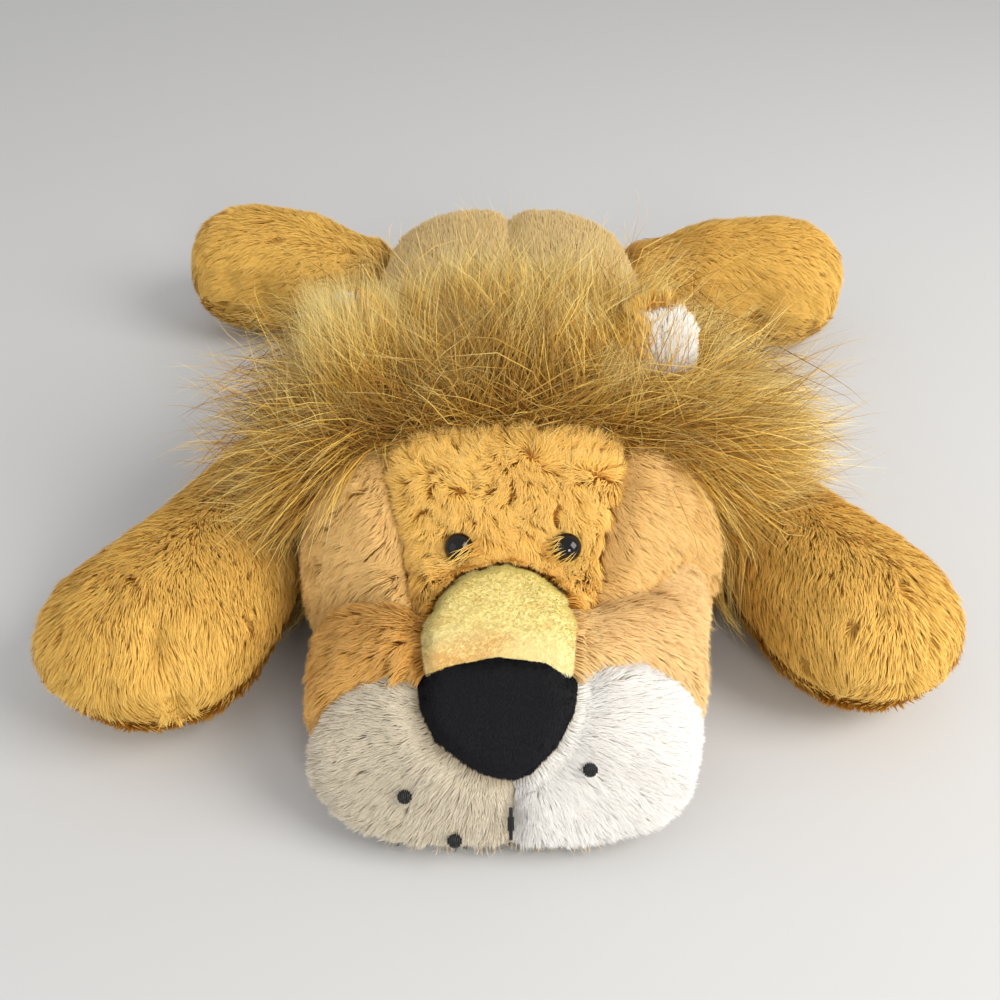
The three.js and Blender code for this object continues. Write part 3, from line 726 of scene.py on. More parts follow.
def mesh_from(name, corners, loops, sizes, places, material, shading=None):
    """A mesh object from plain arrays, with its pile map and its shading directions."""
    mesh = bpy.data.meshes.new(name)
    mesh.vertices.add(len(corners))
    mesh.vertices.foreach_set("co", corners.astype(np.float32).ravel())
    mesh.loops.add(len(loops))
    mesh.loops.foreach_set("vertex_index", loops.astype(np.int32))
    mesh.polygons.add(len(sizes))
    starts = np.concatenate([[0], np.cumsum(sizes)[:-1]])
    mesh.polygons.foreach_set("loop_start", starts.astype(np.int32))
    mesh.polygons.foreach_set("use_smooth", np.ones(len(sizes), bool))
    pile_map = mesh.uv_layers.new(name=PILE_MAP)
    pile_map.data.foreach_set("uv", places.astype(np.float32).ravel())
    mesh.update(calc_edges=True)
    mesh.validate()
    if shading is not None:
        mesh.normals_split_custom_set_from_vertices(shading.tolist())
    mesh.materials.append(material)
    return linked(name, mesh)


BACKING_THICKNESS = 1.0 * MM


def backing(skin, faces, lift=0.0):
    """A panel's cloth with its thickness: corners, loops, sizes, pile map places and shading directions."""
    used = sorted({corner for face in faces for corner in face})
    numbers = {corner: number for number, corner in enumerate(used)}
    outside = skin.points[used] + skin.normals[used] * lift
    inside = outside - skin.normals[used] * BACKING_THICKNESS
    inside[:, 2] = np.maximum(inside[:, 2], FLOOR_CLEAR)
    count = len(used)
    rings = [[numbers[corner] for corner in face] for face in faces]
    turned = [[count + corner for corner in reversed(ring)] for ring in rings]
    edges = {edge: True for ring in rings for edge in zip(ring, ring[1:] + ring[:1])}
    walls = [(b, a, count + a, count + b) for a, b in edges if (b, a) not in edges]
    all_faces = rings + turned + walls
    loops = np.array([corner for face in all_faces for corner in face])
    sizes = np.array([len(face) for face in all_faces])
    corners = np.concatenate([outside, inside])
    tone = 0.5 + 0.2 * waves(corners[loops], 9 * MM, 3)
    places = np.stack([tone, np.full(len(loops), 0.02)], axis=1)
    shading = np.concatenate([skin.normals[used], -skin.normals[used]])
    return corners, loops, sizes, places, shading


def joined(parts):
    """Several sets of corners, loops, sizes, places and shading directions as one."""
    corners, loops, sizes, places, *shading = zip(*parts)
    starts = np.cumsum([0] + [len(c) for c in corners[:-1]])
    return (
        np.concatenate(corners),
        np.concatenate([loop + start for loop, start in zip(loops, starts)]),
        np.concatenate(sizes),
        np.concatenate(places),
        *[np.concatenate(rows) for rows in shading],
    )


def panel_triangles(skin, panel):
    """The faces and triangles of one panel of a skin."""
    number = skin.panels.index(panel)
    faces = [face for face, own in zip(skin.faces, skin.face_panel) if own == number]
    triangles = np.array([(f[0], f[i], f[i + 1]) for f in faces for i in range(1, len(f) - 1)])
    return faces, triangles


def above_floor(lines, rng):
    """Strands that would pass through the floor lie flat on it."""
    lift = FLOOR_CLEAR + rng.random(lines.shape[:2]) * 0.5 * MM
    lines[:, :, 2] = np.maximum(lines[:, :, 2], lift)
    return lines


def make_panel(panel, body, skin, pile, nap, weight=None, extra=()):
    """A panel's cloth and pile as one piece that stands for its CAD node and moves with a body."""
    rng = rng_for(panel)
    faces, triangles = panel_triangles(skin, panel)
    lines, tone, upright = strand_lines(skin, triangles, pile, nap, rng, weight)
    lines = above_floor(lines, rng)
    width = pile.width * rng.uniform(0.75, 1.2, len(lines))
    parts = [backing(skin, faces), ribbons(lines, upright, width, tone, rng)]
    for more, more_tone, more_upright in extra:
        width = pile.width * rng.uniform(0.5, 0.9, len(more))
        parts.append(ribbons(more, more_upright, width, more_tone, rng))
    *arrays, shading = joined(parts)
    piece = mesh_from(panel + "_plush", *arrays, MATERIALS[pile.material], shading)
    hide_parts(panel)
    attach(piece, body)


# How the pile lies


def towards(x, y, z):
    """Pile that lies one way all over."""
    return lambda points: np.tile(np.array([x, y, z], float), (len(points), 1))


def away_from(place):
    """Pile that lies away from a point."""
    return lambda points: points - place


def level_towards(place):
    """Pile that lies level, towards a point."""
    return lambda points: unit((place - points) * np.array([1, 1, 0]))


def middle(node):
    """The middle of a CAD node's box."""
    low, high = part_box(node)
    return np.array((low + high) / 2)


def joint_of(body):
    """The place of the joint that moves a body."""
    return np.array(next(joint for joint in frame["joints"] if joint["child"] == body)["pos_m"])


forehead_middle = middle("forehead")
FACE_FLOW = np.array([0.0, -0.9, -0.35])


def forehead_nap(points):
    """Up towards the mane, and down over the brow lower down, fanning out a little to the sides."""
    side = (points[:, 0] - forehead_middle[0]) / (45 * MM)
    low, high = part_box("forehead")
    height = (points[:, 1] - low[1]) / (high[1] - low[1]) + waves(points, 30 * MM, 22) * 0.22
    flow = FACE_FLOW * (1 - np.clip((height - 0.5) / 0.4, 0, 1) * 2)[:, None]
    flow[:, 0] += side * 0.5 + waves(points, 24 * MM, 21) * 0.8
    return over_eyes(points, flow)


def over_eyes(points, flow):
    """Hair above an eye turns down over it."""
    for side in ("left", "right"):
        eye = middle("eye_" + side)
        near = np.exp(-((np.linalg.norm(points - eye, axis=1) / (11 * MM)) ** 4))[:, None]
        above = np.clip((points[:, 1:2] - eye[1]) / (3 * MM) + 0.6, 0, 1)
        flow = unit(flow) * (1 - 0.7 * near * above) + unit(eye - points) * near * above
    return flow


def face_nap(points):
    """Outwards and down from the brow."""
    side = np.sign(points[:, 0] - forehead_middle[0])
    flow = np.tile(np.array([0.0, -0.35, -0.75]), (len(points), 1))
    flow[:, 0] = side * 0.8
    return flow


LEG_FAN = 24 * MM


def leg_nap(name):
    """Along the leg towards its paw, fanning out from its middle to both sides."""
    hip = joint_of(name)
    axis = unit((middle(name + "_cover") - hip) * np.array([1, 1, 0]))
    side = np.cross(UP, axis)

    def nap(points):
        fan = np.clip((points - hip) @ side / LEG_FAN, -1.2, 1.2) * 0.8
        fan += waves(points, 26 * MM, 31) * 0.45
        return axis - UP * 0.25 + side * fan[:, None]

    return nap


# Deeper yellow low on the bridge: where, how wide in millimetres, and how strong.
BRIDGE_DEEPER_SPOTS = [((-27, -181, 67), (16, 9, 12), 0.55), ((-8, -172, 72), (13, 6, 10), 0.36)]

# Each pile's material, length, depth, width and density, and what is unlike plain pile.
PILES = {
    "forehead": Pile("forehead_plush", 8, 5.2, 0.38, 5.6, lean=(28, 66), tuft=2.8, pull=0.2, stray=30,
                     partings=0.005, trim=0.1),
    "face_side_left": Pile("face_plush", 9, 4.9, 0.38, 4.8, lean=(40, 77), tuft=3.2, pull=0.14, stray=12,
                           partings=0.001, trim=0.1),
    "face_side_right": Pile("face_plush", 9, 4.9, 0.38, 4.8, lean=(38, 75), tuft=3.2, pull=0.16, stray=13,
                            partings=0.0016, trim=0.1),
    # The cheek on the lit side has a lighter copy of the face colour: painted light.
    "cheek_left": Pile("lit_face_plush", 8.5, 4.7, 0.38, 4.8, lean=(34, 74), pull=0.12, stray=9, partings=0),
    # The cheek on the less lit side has a darker copy of the face colour: painted shade.
    "cheek_right": Pile("cheek_plush", 8.5, 4.9, 0.38, 4.8, lean=(34, 73), pull=0.18, stray=15,
                        partings=0.0025),
    "nose_bridge": Pile("yellow_velour", 1.3, 1.0, 0.24, 15, steps=1, lean=(40, 40), tuft=6, pull=0, stray=5,
                        partings=0, mottle=0.2, trim=0, stains=BRIDGE_DEEPER_SPOTS),
    "nose": Pile("black_velour", 1.2, 0.9, 0.3, 9, steps=1, lean=(30, 30), tuft=2, pull=0.1, partings=0,
                 trim=0),
    "muzzle_pad_left": Pile("white_plush", 7.5, 4.7, 0.36, 6.2, lean=(26, 68), tuft=2.6, pull=0.1, stray=10,
                            partings=0),
    # The muzzle pad on the less lit side has a darker copy of the white: painted shade.
    "muzzle_pad_right": Pile("shaded_white_plush", 7.5, 4.7, 0.36, 6.2, lean=(32, 72), tuft=2.6, pull=0.1, stray=13,
                             partings=0),
    # The underside has the same darker copy of the white: painted shade.
    "head_underside": Pile("shaded_white_plush", 6.5, 4, 0.8, 0.4, partings=0),
    "head_back": Pile("mane_pile", 9, 5, 0.8, 0.2, partings=0),
    "neck_cover": Pile("tan_plush", 7, 5, 0.7, 0.35, partings=0),
    "belly": Pile("tan_plush", 8, 4, 0.8, 0.4, partings=0),
    "back": Pile("tan_plush", 8.5, 4.6, 0.5, 1.9, lean=(48, 80), tuft=3.2, pull=0.06, stray=6, partings=0),
    "leg_cover": Pile("gold_plush", 9, 4.4, 0.48, 2.3, lean=(54, 83), tuft=3.2, pull=0.07, stray=7,
                      partings=0.0004, tone_size=44, patches=0.12),
    "leg_sole": Pile("gold_plush", 8, 4.2, 0.85, 0.8, lean=(38, 76), tuft=3, pull=0.12, stray=11, partings=0),
    "ear": Pile("gold_plush", 8, 2.6, 0.4, 3.4, lean=(30, 50), pull=0.2, partings=0),
    "ear_lining": Pile("white_plush", 5, 2.4, 0.36, 5, lean=(30, 66), pull=0.16, partings=0),
    "tail_cover": Pile("gold_plush", 5.5, 3, 0.58, 1.8, lean=(36, 72), pull=0.15, partings=0),
    "tail_tuft": Pile("tuft_pile", 17, 4.5, 0.6, 1.5, steps=3, lean=(44, 88), tuft=4, pull=0.4, stray=12,
                      partings=0, droop=0.5),
    "mane": Pile("mane_pile", 52, 3.4, 0.36, 1.0, steps=4, tuft=8, pull=0.42, stray=30, partings=0),
}

HEAD_NAPS = {
    "forehead": forehead_nap,
    "face_side_left": face_nap,
    "face_side_right": face_nap,
    "cheek_left": face_nap,
    "cheek_right": face_nap,
    "nose_bridge": towards(0, -1, -0.3),
    "nose": towards(0, -1, -1),
    "muzzle_pad_left": away_from(middle("nose")),
    "muzzle_pad_right": away_from(middle("nose")),
    "head_underside": towards(0, 1, 0),
    "head_back": towards(0, 1, -0.3),
}

EYE_LEAN = math.radians(38)
EYE_RISE = 4.5 * MM
EYE_HAIR_STEPS = 6
# Hair over each eye: its turn off the sideways line, how far beside the middle of the dome it lies
# and how far across it ends in millimetres, and the number of strands.
EYE_HAIR = {
    "left": {"turn": 0.4, "beside": (-4.6, 3.6), "ends": (-3.4, 0.8), "count": 26},
    "right": {"turn": -0.55, "beside": (-5.2, -1.2), "ends": (3, 9), "count": 20},
}


def eye_place(side):
    """An eye's axis, the top of its dome, its radius and its length with the stem."""
    node = "eye_" + side
    axis = np.array([0, -math.sin(EYE_LEAN), math.cos(EYE_LEAN)])
    corners = points_of(frame["nodes"][node].data)
    heights = corners @ axis
    radius = (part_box(node)[1][0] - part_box(node)[0][0]) / 2
    return axis, corners[heights.argmax()], radius, heights.max() - heights.min()


def eye_hair(side, turn, beside, ends, count):
    """Forehead hair that crosses an eye's dome: its lines, tones and uprights."""
    rng = rng_for("eye_hair_" + side)
    axis, apex, radius, _ = eye_place(side)
    turn = rng.normal(turn, 0.28, count)
    across, ahead = np.array([OUTER_WAY[side], 0, 0]), np.cross(axis, [1.0, 0, 0])
    heading = across * np.cos(turn)[:, None] + ahead * np.sin(turn)[:, None]
    sideways = np.cross(axis, heading) * OUTER_WAY[side]
    offset = rng.uniform(*beside, count) * MM
    first = -rng.uniform(7.5, 9.5, count) * MM
    last = rng.uniform(*ends, count) * MM
    stations = []
    for share in np.linspace(0, 1, EYE_HAIR_STEPS + 1):
        along = first * (1 - share) + last * share
        flat = sideways * offset[:, None] + heading * along[:, None]
        inside = np.clip(1 - (np.linalg.norm(flat, axis=1) / radius) ** 2, 0, 1)
        height = EYE_RISE * np.sqrt(inside) + (0.5 + 0.9 * share) * MM - 3.0 * MM * (share < 0.1)
        stations.append(apex - axis * EYE_RISE + flat + axis * height[:, None])
    tone = np.clip(rng.normal(0.3, 0.18, count), 0, 1)
    return np.stack(stations, axis=1), tone, np.tile(axis, (count, 1))


# Seams pulled in more than the others: the two panels, how deep and how wide in millimetres.
HEAD_CREASES = [
    ("face_side_left", "cheek_left", 3.4, 7),
    ("face_side_right", "cheek_right", 4.2, 7),
    ("forehead", "face_side_right", 2.6, 5),
    ("forehead", "face_side_left", 0.8, 5),
    ("muzzle_pad_left", "muzzle_pad_right", 3.0, 5),
    ("cheek_left", "muzzle_pad_left", 1.2, 5),
    ("cheek_right", "muzzle_pad_right", 2.6, 5),
]
# Places where the head is plumped out: where, how deep (below 0 is outwards) and how wide in millimetres.
HEAD_DENTS = [((-70, -198, 40), -2.8, (14, 18, 20)), ((-46, -206, 10), -3.0, (20, 14, 12))]


def sewn_form(body, piles, naps, extra=(), **shape):
    """Makes a form's skin and on it the panels, which have a pile each, and its stuffing."""
    depths = {panel: pile.depth for panel, pile in piles.items()}
    skin = Skin(body, depths, fill=[body + "_stuffing"], **shape)
    for panel, pile in piles.items():
        make_panel(panel, body, skin, pile, naps[panel], extra=extra if panel == "forehead" else ())
    make_stuffing(skin, body + "_stuffing", body)
    return skin


def make_head():
    """The head's form."""
    return sewn_form(
        "head",
        {panel: PILES[panel] for panel in HEAD_NAPS},
        HEAD_NAPS,
        [eye_hair(side, **hair) for side, hair in EYE_HAIR.items()],
        voxel=2.2 * MM,
        rounds=14,
        seam_share=0.7,
        seam_width=4 * MM,
        creases=HEAD_CREASES,
        dents=HEAD_DENTS,
    )


TORSO_PILES = {"neck_cover": "neck_cover", "belly": "belly", "back_left": "back", "back_right": "back"}
TORSO_CREASES = [("back_left", "back_right", 3.2, 6)]


def make_torso():
    """The body's form."""
    return sewn_form(
        "torso",
        {panel: PILES[name] for panel, name in TORSO_PILES.items()},
        dict.fromkeys(TORSO_PILES, towards(0, 1, -0.25)),
        voxel=3.2 * MM,
        rounds=8,
        seam_share=0.6,
        seam_width=5 * MM,
        creases=TORSO_CREASES,
        hull=True,
    )


STUFFING_DEPTH = 3.6 * MM
STUFFING_SHARE = 0.3
STUFFING_FLOOR = 2.5 * MM


def make_stuffing(skin, node, body, depth=STUFFING_DEPTH, lumps=1.2 * MM):
    """A form's stuffing: the same form inside its cloth, closed and lumpy."""
    points = skin.points - skin.normals * (BACKING_THICKNESS + depth)
    points += skin.normals * (waves(points, 22 * MM, 7) * lumps)[:, None]
    points[:, 2] = np.maximum(points[:, 2], STUFFING_FLOOR)
    loops = np.array([corner for face in skin.faces for corner in face])
    sizes = np.array([len(face) for face in skin.faces])
    places = points[loops, :2] * 8
    piece = mesh_from(node + "_fibre", points, loops, sizes, places, MATERIALS["stuffing_fibre"])
    modified(piece, "DECIMATE", ratio=STUFFING_SHARE)
    tree = BVHTree.FromPolygons(skin.points.tolist(), skin.faces)
    inset = BACKING_THICKNESS + 0.5 * depth
    points = points_of(piece.data)
    for i, point in enumerate(points):
        place, normal, _, _ = tree.find_nearest(point)
        if (Vector(point) - place).dot(normal) > -inset:
            points[i] = place - normal * inset
    move_points(piece.data, points)
    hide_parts(node)
    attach(piece, body)


# Places where a leg is stitched or pressed in, or with a depth below 0 plumped out: where, how deep
# and how wide in millimetres.
LEG_DENTS = {
    "front_leg_left": [
        ((127, -146, 58), 1.8, (3, 9, 8)),
        ((146, -150, 54), 2.0, (3, 9, 8)),
        ((138, -166, 36), 3, (5, 10, 10)),
    ],
    "front_leg_right": [
        ((-128.5, -158, 57), 4.6, (4, 10, 10)),
        ((-120.3, -172, 33), 4.5, (6, 12, 12)),
        ((-145, -160, 52), 1.4, (4, 8, 8)),
        ((-178, -132, 30), -6.5, (20, 34, 24)),
    ],
    "hind_leg_left": [((128, 95, 26), 7.5, (8, 10, 14)), ((158, 92, 40), 1.8, (4, 9, 9))],
    "hind_leg_right": [((-134, 108, 34), 4.5, (7, 10, 13)), ((-152, 112, 46), 1.8, (4, 9, 9))],
}


def make_leg(name):
    """A leg's form: its cover and sole."""
    piles = {name + "_cover": PILES["leg_cover"], name + "_sole": PILES["leg_sole"]}
    return sewn_form(
        name,
        piles,
        dict.fromkeys(piles, leg_nap(name)),
        voxel=3 * MM,
        rounds=12,
        seam_share=0.15,
        seam_width=3 * MM,
        dents=LEG_DENTS[name],
    )


skins = {"head": make_head(), "torso": make_torso()}
for leg in LEG_DENTS:
    skins[leg] = make_leg(leg)

# The mane

MANE_CENTRE = np.array([0.5, -128, 38]) * MM
MANE_PARTS = ["mane_right", "mane_crown", "mane_left"]
MANE_STRANDS = 56000
MANE_BY_ENDS, MANE_BY_ROOTS = 0.55, 0.45  # the shares of strands that are chosen by these
MANE_GROUND = 12000  # the area in square millimetres from which the second share grows
MANE_LIFT = 1.4 * MM
MANE_LOWEST_CLOTH = 66 * MM
MANE_TOP = 129 * MM
LOCK_STRANDS = 34
LEG_CLEARANCE = 2.0 * MM
LOOSE_LAYER = 3 * MM  # over forms and at the mane's top
CHEEK_HAIRS, FRINGE_HAIRS, WISPS = 9500, 2200, 460
SIDE_HAIRS = {"right": 1500, "left": 500}
# Hair over each ear: the number of strands, and how far behind the ear's middle they end in millimetres.
EAR_HAIR = {"right": (4000, -22, 32), "left": (60, 14, 24)}

mane = PILES["mane"]
scalp = skins["head"]
scalp_faces, scalp_triangles = panel_triangles(scalp, "head_back")
scalp_tree = BVHTree.FromPolygons(scalp.points.tolist(), scalp_faces)
along_strand = np.linspace(0, 1, mane.steps + 1)[None, :, None]


def mane_flow(points, outward, stray):
    """Away from the face in the surface with this outward direction, turned by the stray angles."""
    flow = in_surface(unit(points - MANE_CENTRE) - UP * 0.25, outward)
    turn = np.radians(stray)[:, None]
    return flow * np.cos(turn) + np.cross(outward, flow) * np.sin(turn)


def mane_stray(points, rng, seed):
    """Stray angles that change from strand to strand and from lock to lock."""
    return rng.normal(0, mane.stray, len(points)) + waves(points, 26 * MM, seed) * mane.stray * 1.4


def arcs(roots, bend, ends):
    """Strands that leave their roots towards a bend and reach their ends in one curve."""
    share, rest = along_strand, 1 - along_strand
    return rest**2 * roots[:, None] + 2 * share * rest * bend[:, None] + share**2 * ends[:, None]


def falling(start, heading, length, drop, waver, rng):
    """Strands that set out in a direction and fall more at each step."""
    line = [start]
    for _ in range(mane.steps):
        heading = unit(heading - UP * drop + rng.normal(0, waver, (len(start), 3)))
        line.append(line[-1] + heading * (length / mane.steps)[:, None])
    return np.stack(line, axis=1)


def tones(mean, spread, count, rng):
    """A tone for each strand."""
    return np.clip(rng.normal(mean, spread, count), *TONES)


def higher(low, span, least=0.0):
    """A weight that grows with the height over a span from the low one, both in millimetres."""
    return lambda places: np.clip((places[:, 2] - low * MM) / (span * MM), least, 1)


def beside_face(places):
    """A weight that is largest at the height of the cheeks."""
    return np.clip(1.3 - np.abs(places[:, 2] - 58 * MM) / (34 * MM), 0, 1)


def nearest_on(tree, points):
    """The nearest place on a surface to each point, and the surface's direction there."""
    found = [tree.find_nearest(point)[:2] for point in points]
    return np.array([hit[0] for hit in found]), np.array([hit[1] for hit in found])


def mane_envelope():
    """The outer side of the mane's CAD node: its triangles, without those that face the head."""
    mesh = frame["nodes"]["mane"].data
    corners, triangles = points_of(mesh), triangles_of(mesh)
    middles = corners[triangles].mean(axis=1)
    on_head, _ = nearest_on(form_tree(scalp)[0], middles)
    away = middles - on_head
    outwards = (unit(area_vectors(corners, triangles)) * unit(away)).sum(axis=1) > 0.15
    return corners, triangles[outwards & (np.linalg.norm(away, axis=1) > 3 * MM)]


def mane_ends(envelope, rng):
    """Where strands start on the head and end on the mane's outer surface.

    About half are chosen by their ends, so the whole surface is covered, and the others by their
    roots, so hair also rises thickly from the seam behind the forehead.
    """
    corners, outer = envelope
    sides = area_vectors(corners, outer)
    area = np.linalg.norm(sides, axis=1).sum() / 2
    per_corner = np.zeros_like(corners)
    for column in range(3):
        np.add.at(per_corner, outer[:, column], unit(sides))
    ends, outward = scatter(corners, unit(per_corner), outer, MANE_STRANDS * MANE_BY_ENDS / area, rng)
    flow = mane_flow(ends, outward, mane_stray(ends, rng, 5))
    back = mane.length * rng.uniform(0.6, 0.95, len(ends))[:, None]
    roots, upright = nearest_on(scalp_tree, ends - flow * back - outward * back * 0.35)

    density = MANE_STRANDS * MANE_BY_ROOTS / MANE_GROUND / MM**2
    own_roots, own_upright = scatter(
        scalp.points, scalp.normals, scalp_triangles, density, rng, higher(40, 30, 0.02)
    )
    most = rng.permutation(len(own_roots))[: int(MANE_STRANDS * MANE_BY_ROOTS)]
    own_roots, own_upright = own_roots[most], own_upright[most]
    flow = mane_flow(own_roots, own_upright, mane_stray(own_roots, rng, 6))
    reach = mane.length * rng.uniform(0.55, 1.0, len(own_roots))[:, None]
    surface = BVHTree.FromPolygons(corners.tolist(), outer.tolist())
    own_ends, own_outward = nearest_on(surface, own_roots + flow * reach * 0.8 + own_upright * reach * 0.5)
    near = np.linalg.norm(own_ends - own_roots, axis=1) < 1.6 * mane.length
    pairs = ((roots, own_roots), (upright, own_upright), (ends, own_ends), (outward, own_outward))
    return [np.concatenate([first, second[near]]) for first, second in pairs]


def uneven(ends, outward, rng):
    """The strands' ends moved out or in, so the outline is shaggy, and which strands lie deep."""
    count = len(ends)
    loose = rng.random(count) < 0.09
    lumps = waves(ends, 17 * MM, 8) * 3.4
    depth = np.where(loose, rng.uniform(2, 17, count), rng.normal(-2.0, 3.4, count) + lumps) * MM
    deep = rng.random(count) < 0.26
    depth = np.where(deep & ~loose, -rng.uniform(4, 11, count) * MM, depth)
    ends = ends + outward * depth[:, None]
    wide = np.clip((ends[:, 0] - 45 * MM) / (55 * MM), 0, 1) * rng.uniform(0.2, 1.15, count)
    ends = ends + wide[:, None] * np.array([24, -6, -9]) * MM
    ends = ends + (loose * rng.uniform(0, 16, count) * MM)[:, None] * unit(ends - MANE_CENTRE)
    return ends, deep


def swaying(lines, across, rng):
    """Strands that sway to one side and back."""
    shape = (len(lines), 1, 1)
    sway = rng.normal(0, 4.2 * MM, shape)
    phase = rng.uniform(0, 2 * math.pi, shape)
    beats = rng.uniform(0.5, 1.2, shape)
    bow = np.sin(along_strand * beats * 2 * math.pi + phase) * along_strand**0.7
    return lines + across[:, None] * sway * bow


def grow_mane(envelope, rng):
    """The mane's strands: they rise from the head, lean over and end near the mane's outer surface."""
    roots, upright, ends, outward = mane_ends(envelope, rng)
    count = len(roots)
    ends, deep = uneven(ends, outward, rng)
    far = np.linalg.norm(ends - roots, axis=1, keepdims=True)
    bend = roots + (upright * 0.75 + outward * 0.25) * far * rng.uniform(0.28, 0.5, (count, 1))
    lines = swaying(arcs(roots, bend, ends), unit(np.cross(ends - roots, outward) + 1e-9), rng)
    locks = rng.choice(count, size=int(count / LOCK_STRANDS), replace=False)
    own = nearest_index(ends[locks], ends)
    pull = np.clip(mane.pull * rng.uniform(0, 1.8, count), 0, 0.8)[:, None, None] * along_strand**1.4
    lines = lines * (1 - pull) + (lines[locks][own] + (roots - roots[locks][own])[:, None] * 0.45) * pull
    swerve = np.clip(rng.normal(0, 6, (len(locks), 3)), -13, 13) * MM
    swerve -= outward[locks] * (swerve * outward[locks]).sum(axis=1, keepdims=True) * 0.6
    lines = lines + swerve[own][:, None] * along_strand**1.3
    lock_tone = rng.normal(0, 0.16, len(locks))[own]
    # Painted shade: hair is darker where it rises from the seam behind the forehead, where it lies deep in
    # the mane, and towards negative X, the less lit side.
    painted_seam_shade = np.exp(-((tree_distances(tree_of("forehead"), roots) / (8 * MM)) ** 2))
    tone = 0.52 + lock_tone + rng.normal(0, 0.17, count) - 0.3 * deep + waves(ends, 34 * MM, 9) * 0.1
    tone = tone - 0.3 * painted_seam_shade - 0.16 * np.clip(-(ends[:, 0] + 40 * MM) / (40 * MM), 0, 1)
    return lines, np.clip(tone, *TONES)


EAR_ROOM = 16 * MM
EAR_REACH = 45 * MM
EAR_OPENING = np.array([3, -5, -1]) * MM  # from the middle of the lining
EAR_VIEW = np.array([0, -0.62, 0.78])
EAR_CLEARED = {"left": 0.96, "right": 0.0}


def clear_of_ears(lines, rng):
    """Which strands are kept: most that would cross the left ear's lining are left out."""
    kept = np.ones(len(lines), bool)
    for side, share in EAR_CLEARED.items():
        away = lines - (middle("ear_lining_" + side) + EAR_OPENING)
        ahead = np.clip(away @ EAR_VIEW, 0, EAR_REACH)
        near = np.any(np.linalg.norm(away - ahead[..., None] * EAR_VIEW, axis=2) < EAR_ROOM, axis=1)
        kept &= ~(near & (rng.random(len(lines)) < share))
    return kept


def over_ear(side, count, low, high, rng):
    """Hair from in front of an ear that lies back over it, and its tones."""
    ear = middle("ear_" + side)
    start = ear + np.array([-OUTER_WAY[side] * 8, -20, -14]) * MM + rng.normal(0, 11 * MM, (count, 3))
    roots, upright = nearest_on(scalp_tree, start)
    ahead = np.cross(EAR_VIEW, [1.0, 0, 0])
    across, along = rng.uniform(-22, 22, count) * MM, rng.uniform(low, high, count) * MM
    round_off = (across**2 + along**2) / (60 * MM)
    ends = ear + np.array([1.0, 0, 0]) * across[:, None] + ahead * along[:, None]
    ends = ends + EAR_VIEW * (rng.uniform(17, 24, count) * MM - round_off)[:, None]
    bend = roots + upright * rng.uniform(10, 20, (count, 1)) * MM
    bend = bend + EAR_VIEW * rng.uniform(6, 14, (count, 1)) * MM
    sway = rng.normal(0, 2 * MM, (count, 1, 3)) * np.sin(along_strand * math.pi * 1.5)
    return arcs(roots, bend, ends) + sway, tones(0.55, 0.2, count, rng)


def fringe(count, rng):
    """Hair at the front seam that stands up or falls a little over the forehead."""
    roots, upright, seam = scatter(
        scalp.points, scalp.normals, scalp_triangles, 1.2 / MM**2, rng, higher(60, 20), scalp.seam
    )
    kept = rng.permutation(np.nonzero(seam < 6 * MM)[0])[:count]
    roots, upright = roots[kept], upright[kept]
    flow = mane_flow(roots, upright, rng.normal(0, 55, len(roots)))
    length = rng.uniform(12, 30, len(roots))[:, None] * MM
    ends = roots + upright * length * 0.7 - flow * length * rng.uniform(-0.3, 0.8, (len(roots), 1))
    return arcs(roots, roots + upright * length * 0.6, ends), tones(0.4, 0.2, len(roots), rng)


def beside_cheeks(count, rng):
    """Loose hair that hangs from the mane's lower edge beside the face, over the legs and to the floor."""
    roots, upright, seam = scatter(
        scalp.points, scalp.normals, scalp_triangles, 3.0 / MM**2, rng, beside_face, scalp.seam
    )
    kept = np.nonzero((np.abs(upright[:, 0]) > 0.3) & (upright[:, 2] > -0.5) & (seam < 34 * MM))[0]
    kept = rng.permutation(kept)[:count]
    roots, upright = roots[kept], upright[kept]
    count = len(roots)
    length = rng.uniform(24, 60, count) * MM
    length *= np.clip(0.45 + roots[:, 2] / (80 * MM), 0.5, 1)
    heading = upright * 0.6 + np.array([0, -0.35, 0.1])
    heading[:, 0] += np.sign(roots[:, 0] - MANE_CENTRE[0]) * 0.5
    heading += waves(roots, 20 * MM, 13)[:, None] * np.array([0, 0.5, 0.2]) + rng.normal(0, 0.24, (count, 3))
    return falling(roots, heading, length, 0.3, 0.09, rng), tones(0.5, 0.22, count, rng)


def wisps(count, envelope, rng):
    """Single long hairs that stand out of the mane on top and at its sides."""
    corners, outer = envelope
    chosen = outer[rng.choice(len(outer), size=count)]
    start = corners[chosen].mean(axis=1) + rng.normal(0, 5 * MM, (count, 3))
    away = unit(unit(start - MANE_CENTRE) + rng.normal(0, 0.35, (count, 3)) + UP * 0.25)
    length = rng.uniform(14, 34, count)[:, None] * MM
    bow = unit(np.cross(away, rng.normal(0, 1, (count, 3)))) * length * rng.uniform(0.1, 0.42, (count, 1))
    lines = (start - away * 8 * MM)[:, None] + away[:, None] * (length[:, None] + 8 * MM) * along_strand
    return lines + bow[:, None] * np.sin(along_strand * math.pi * 0.9), tones(0.75, 0.15, count, rng)


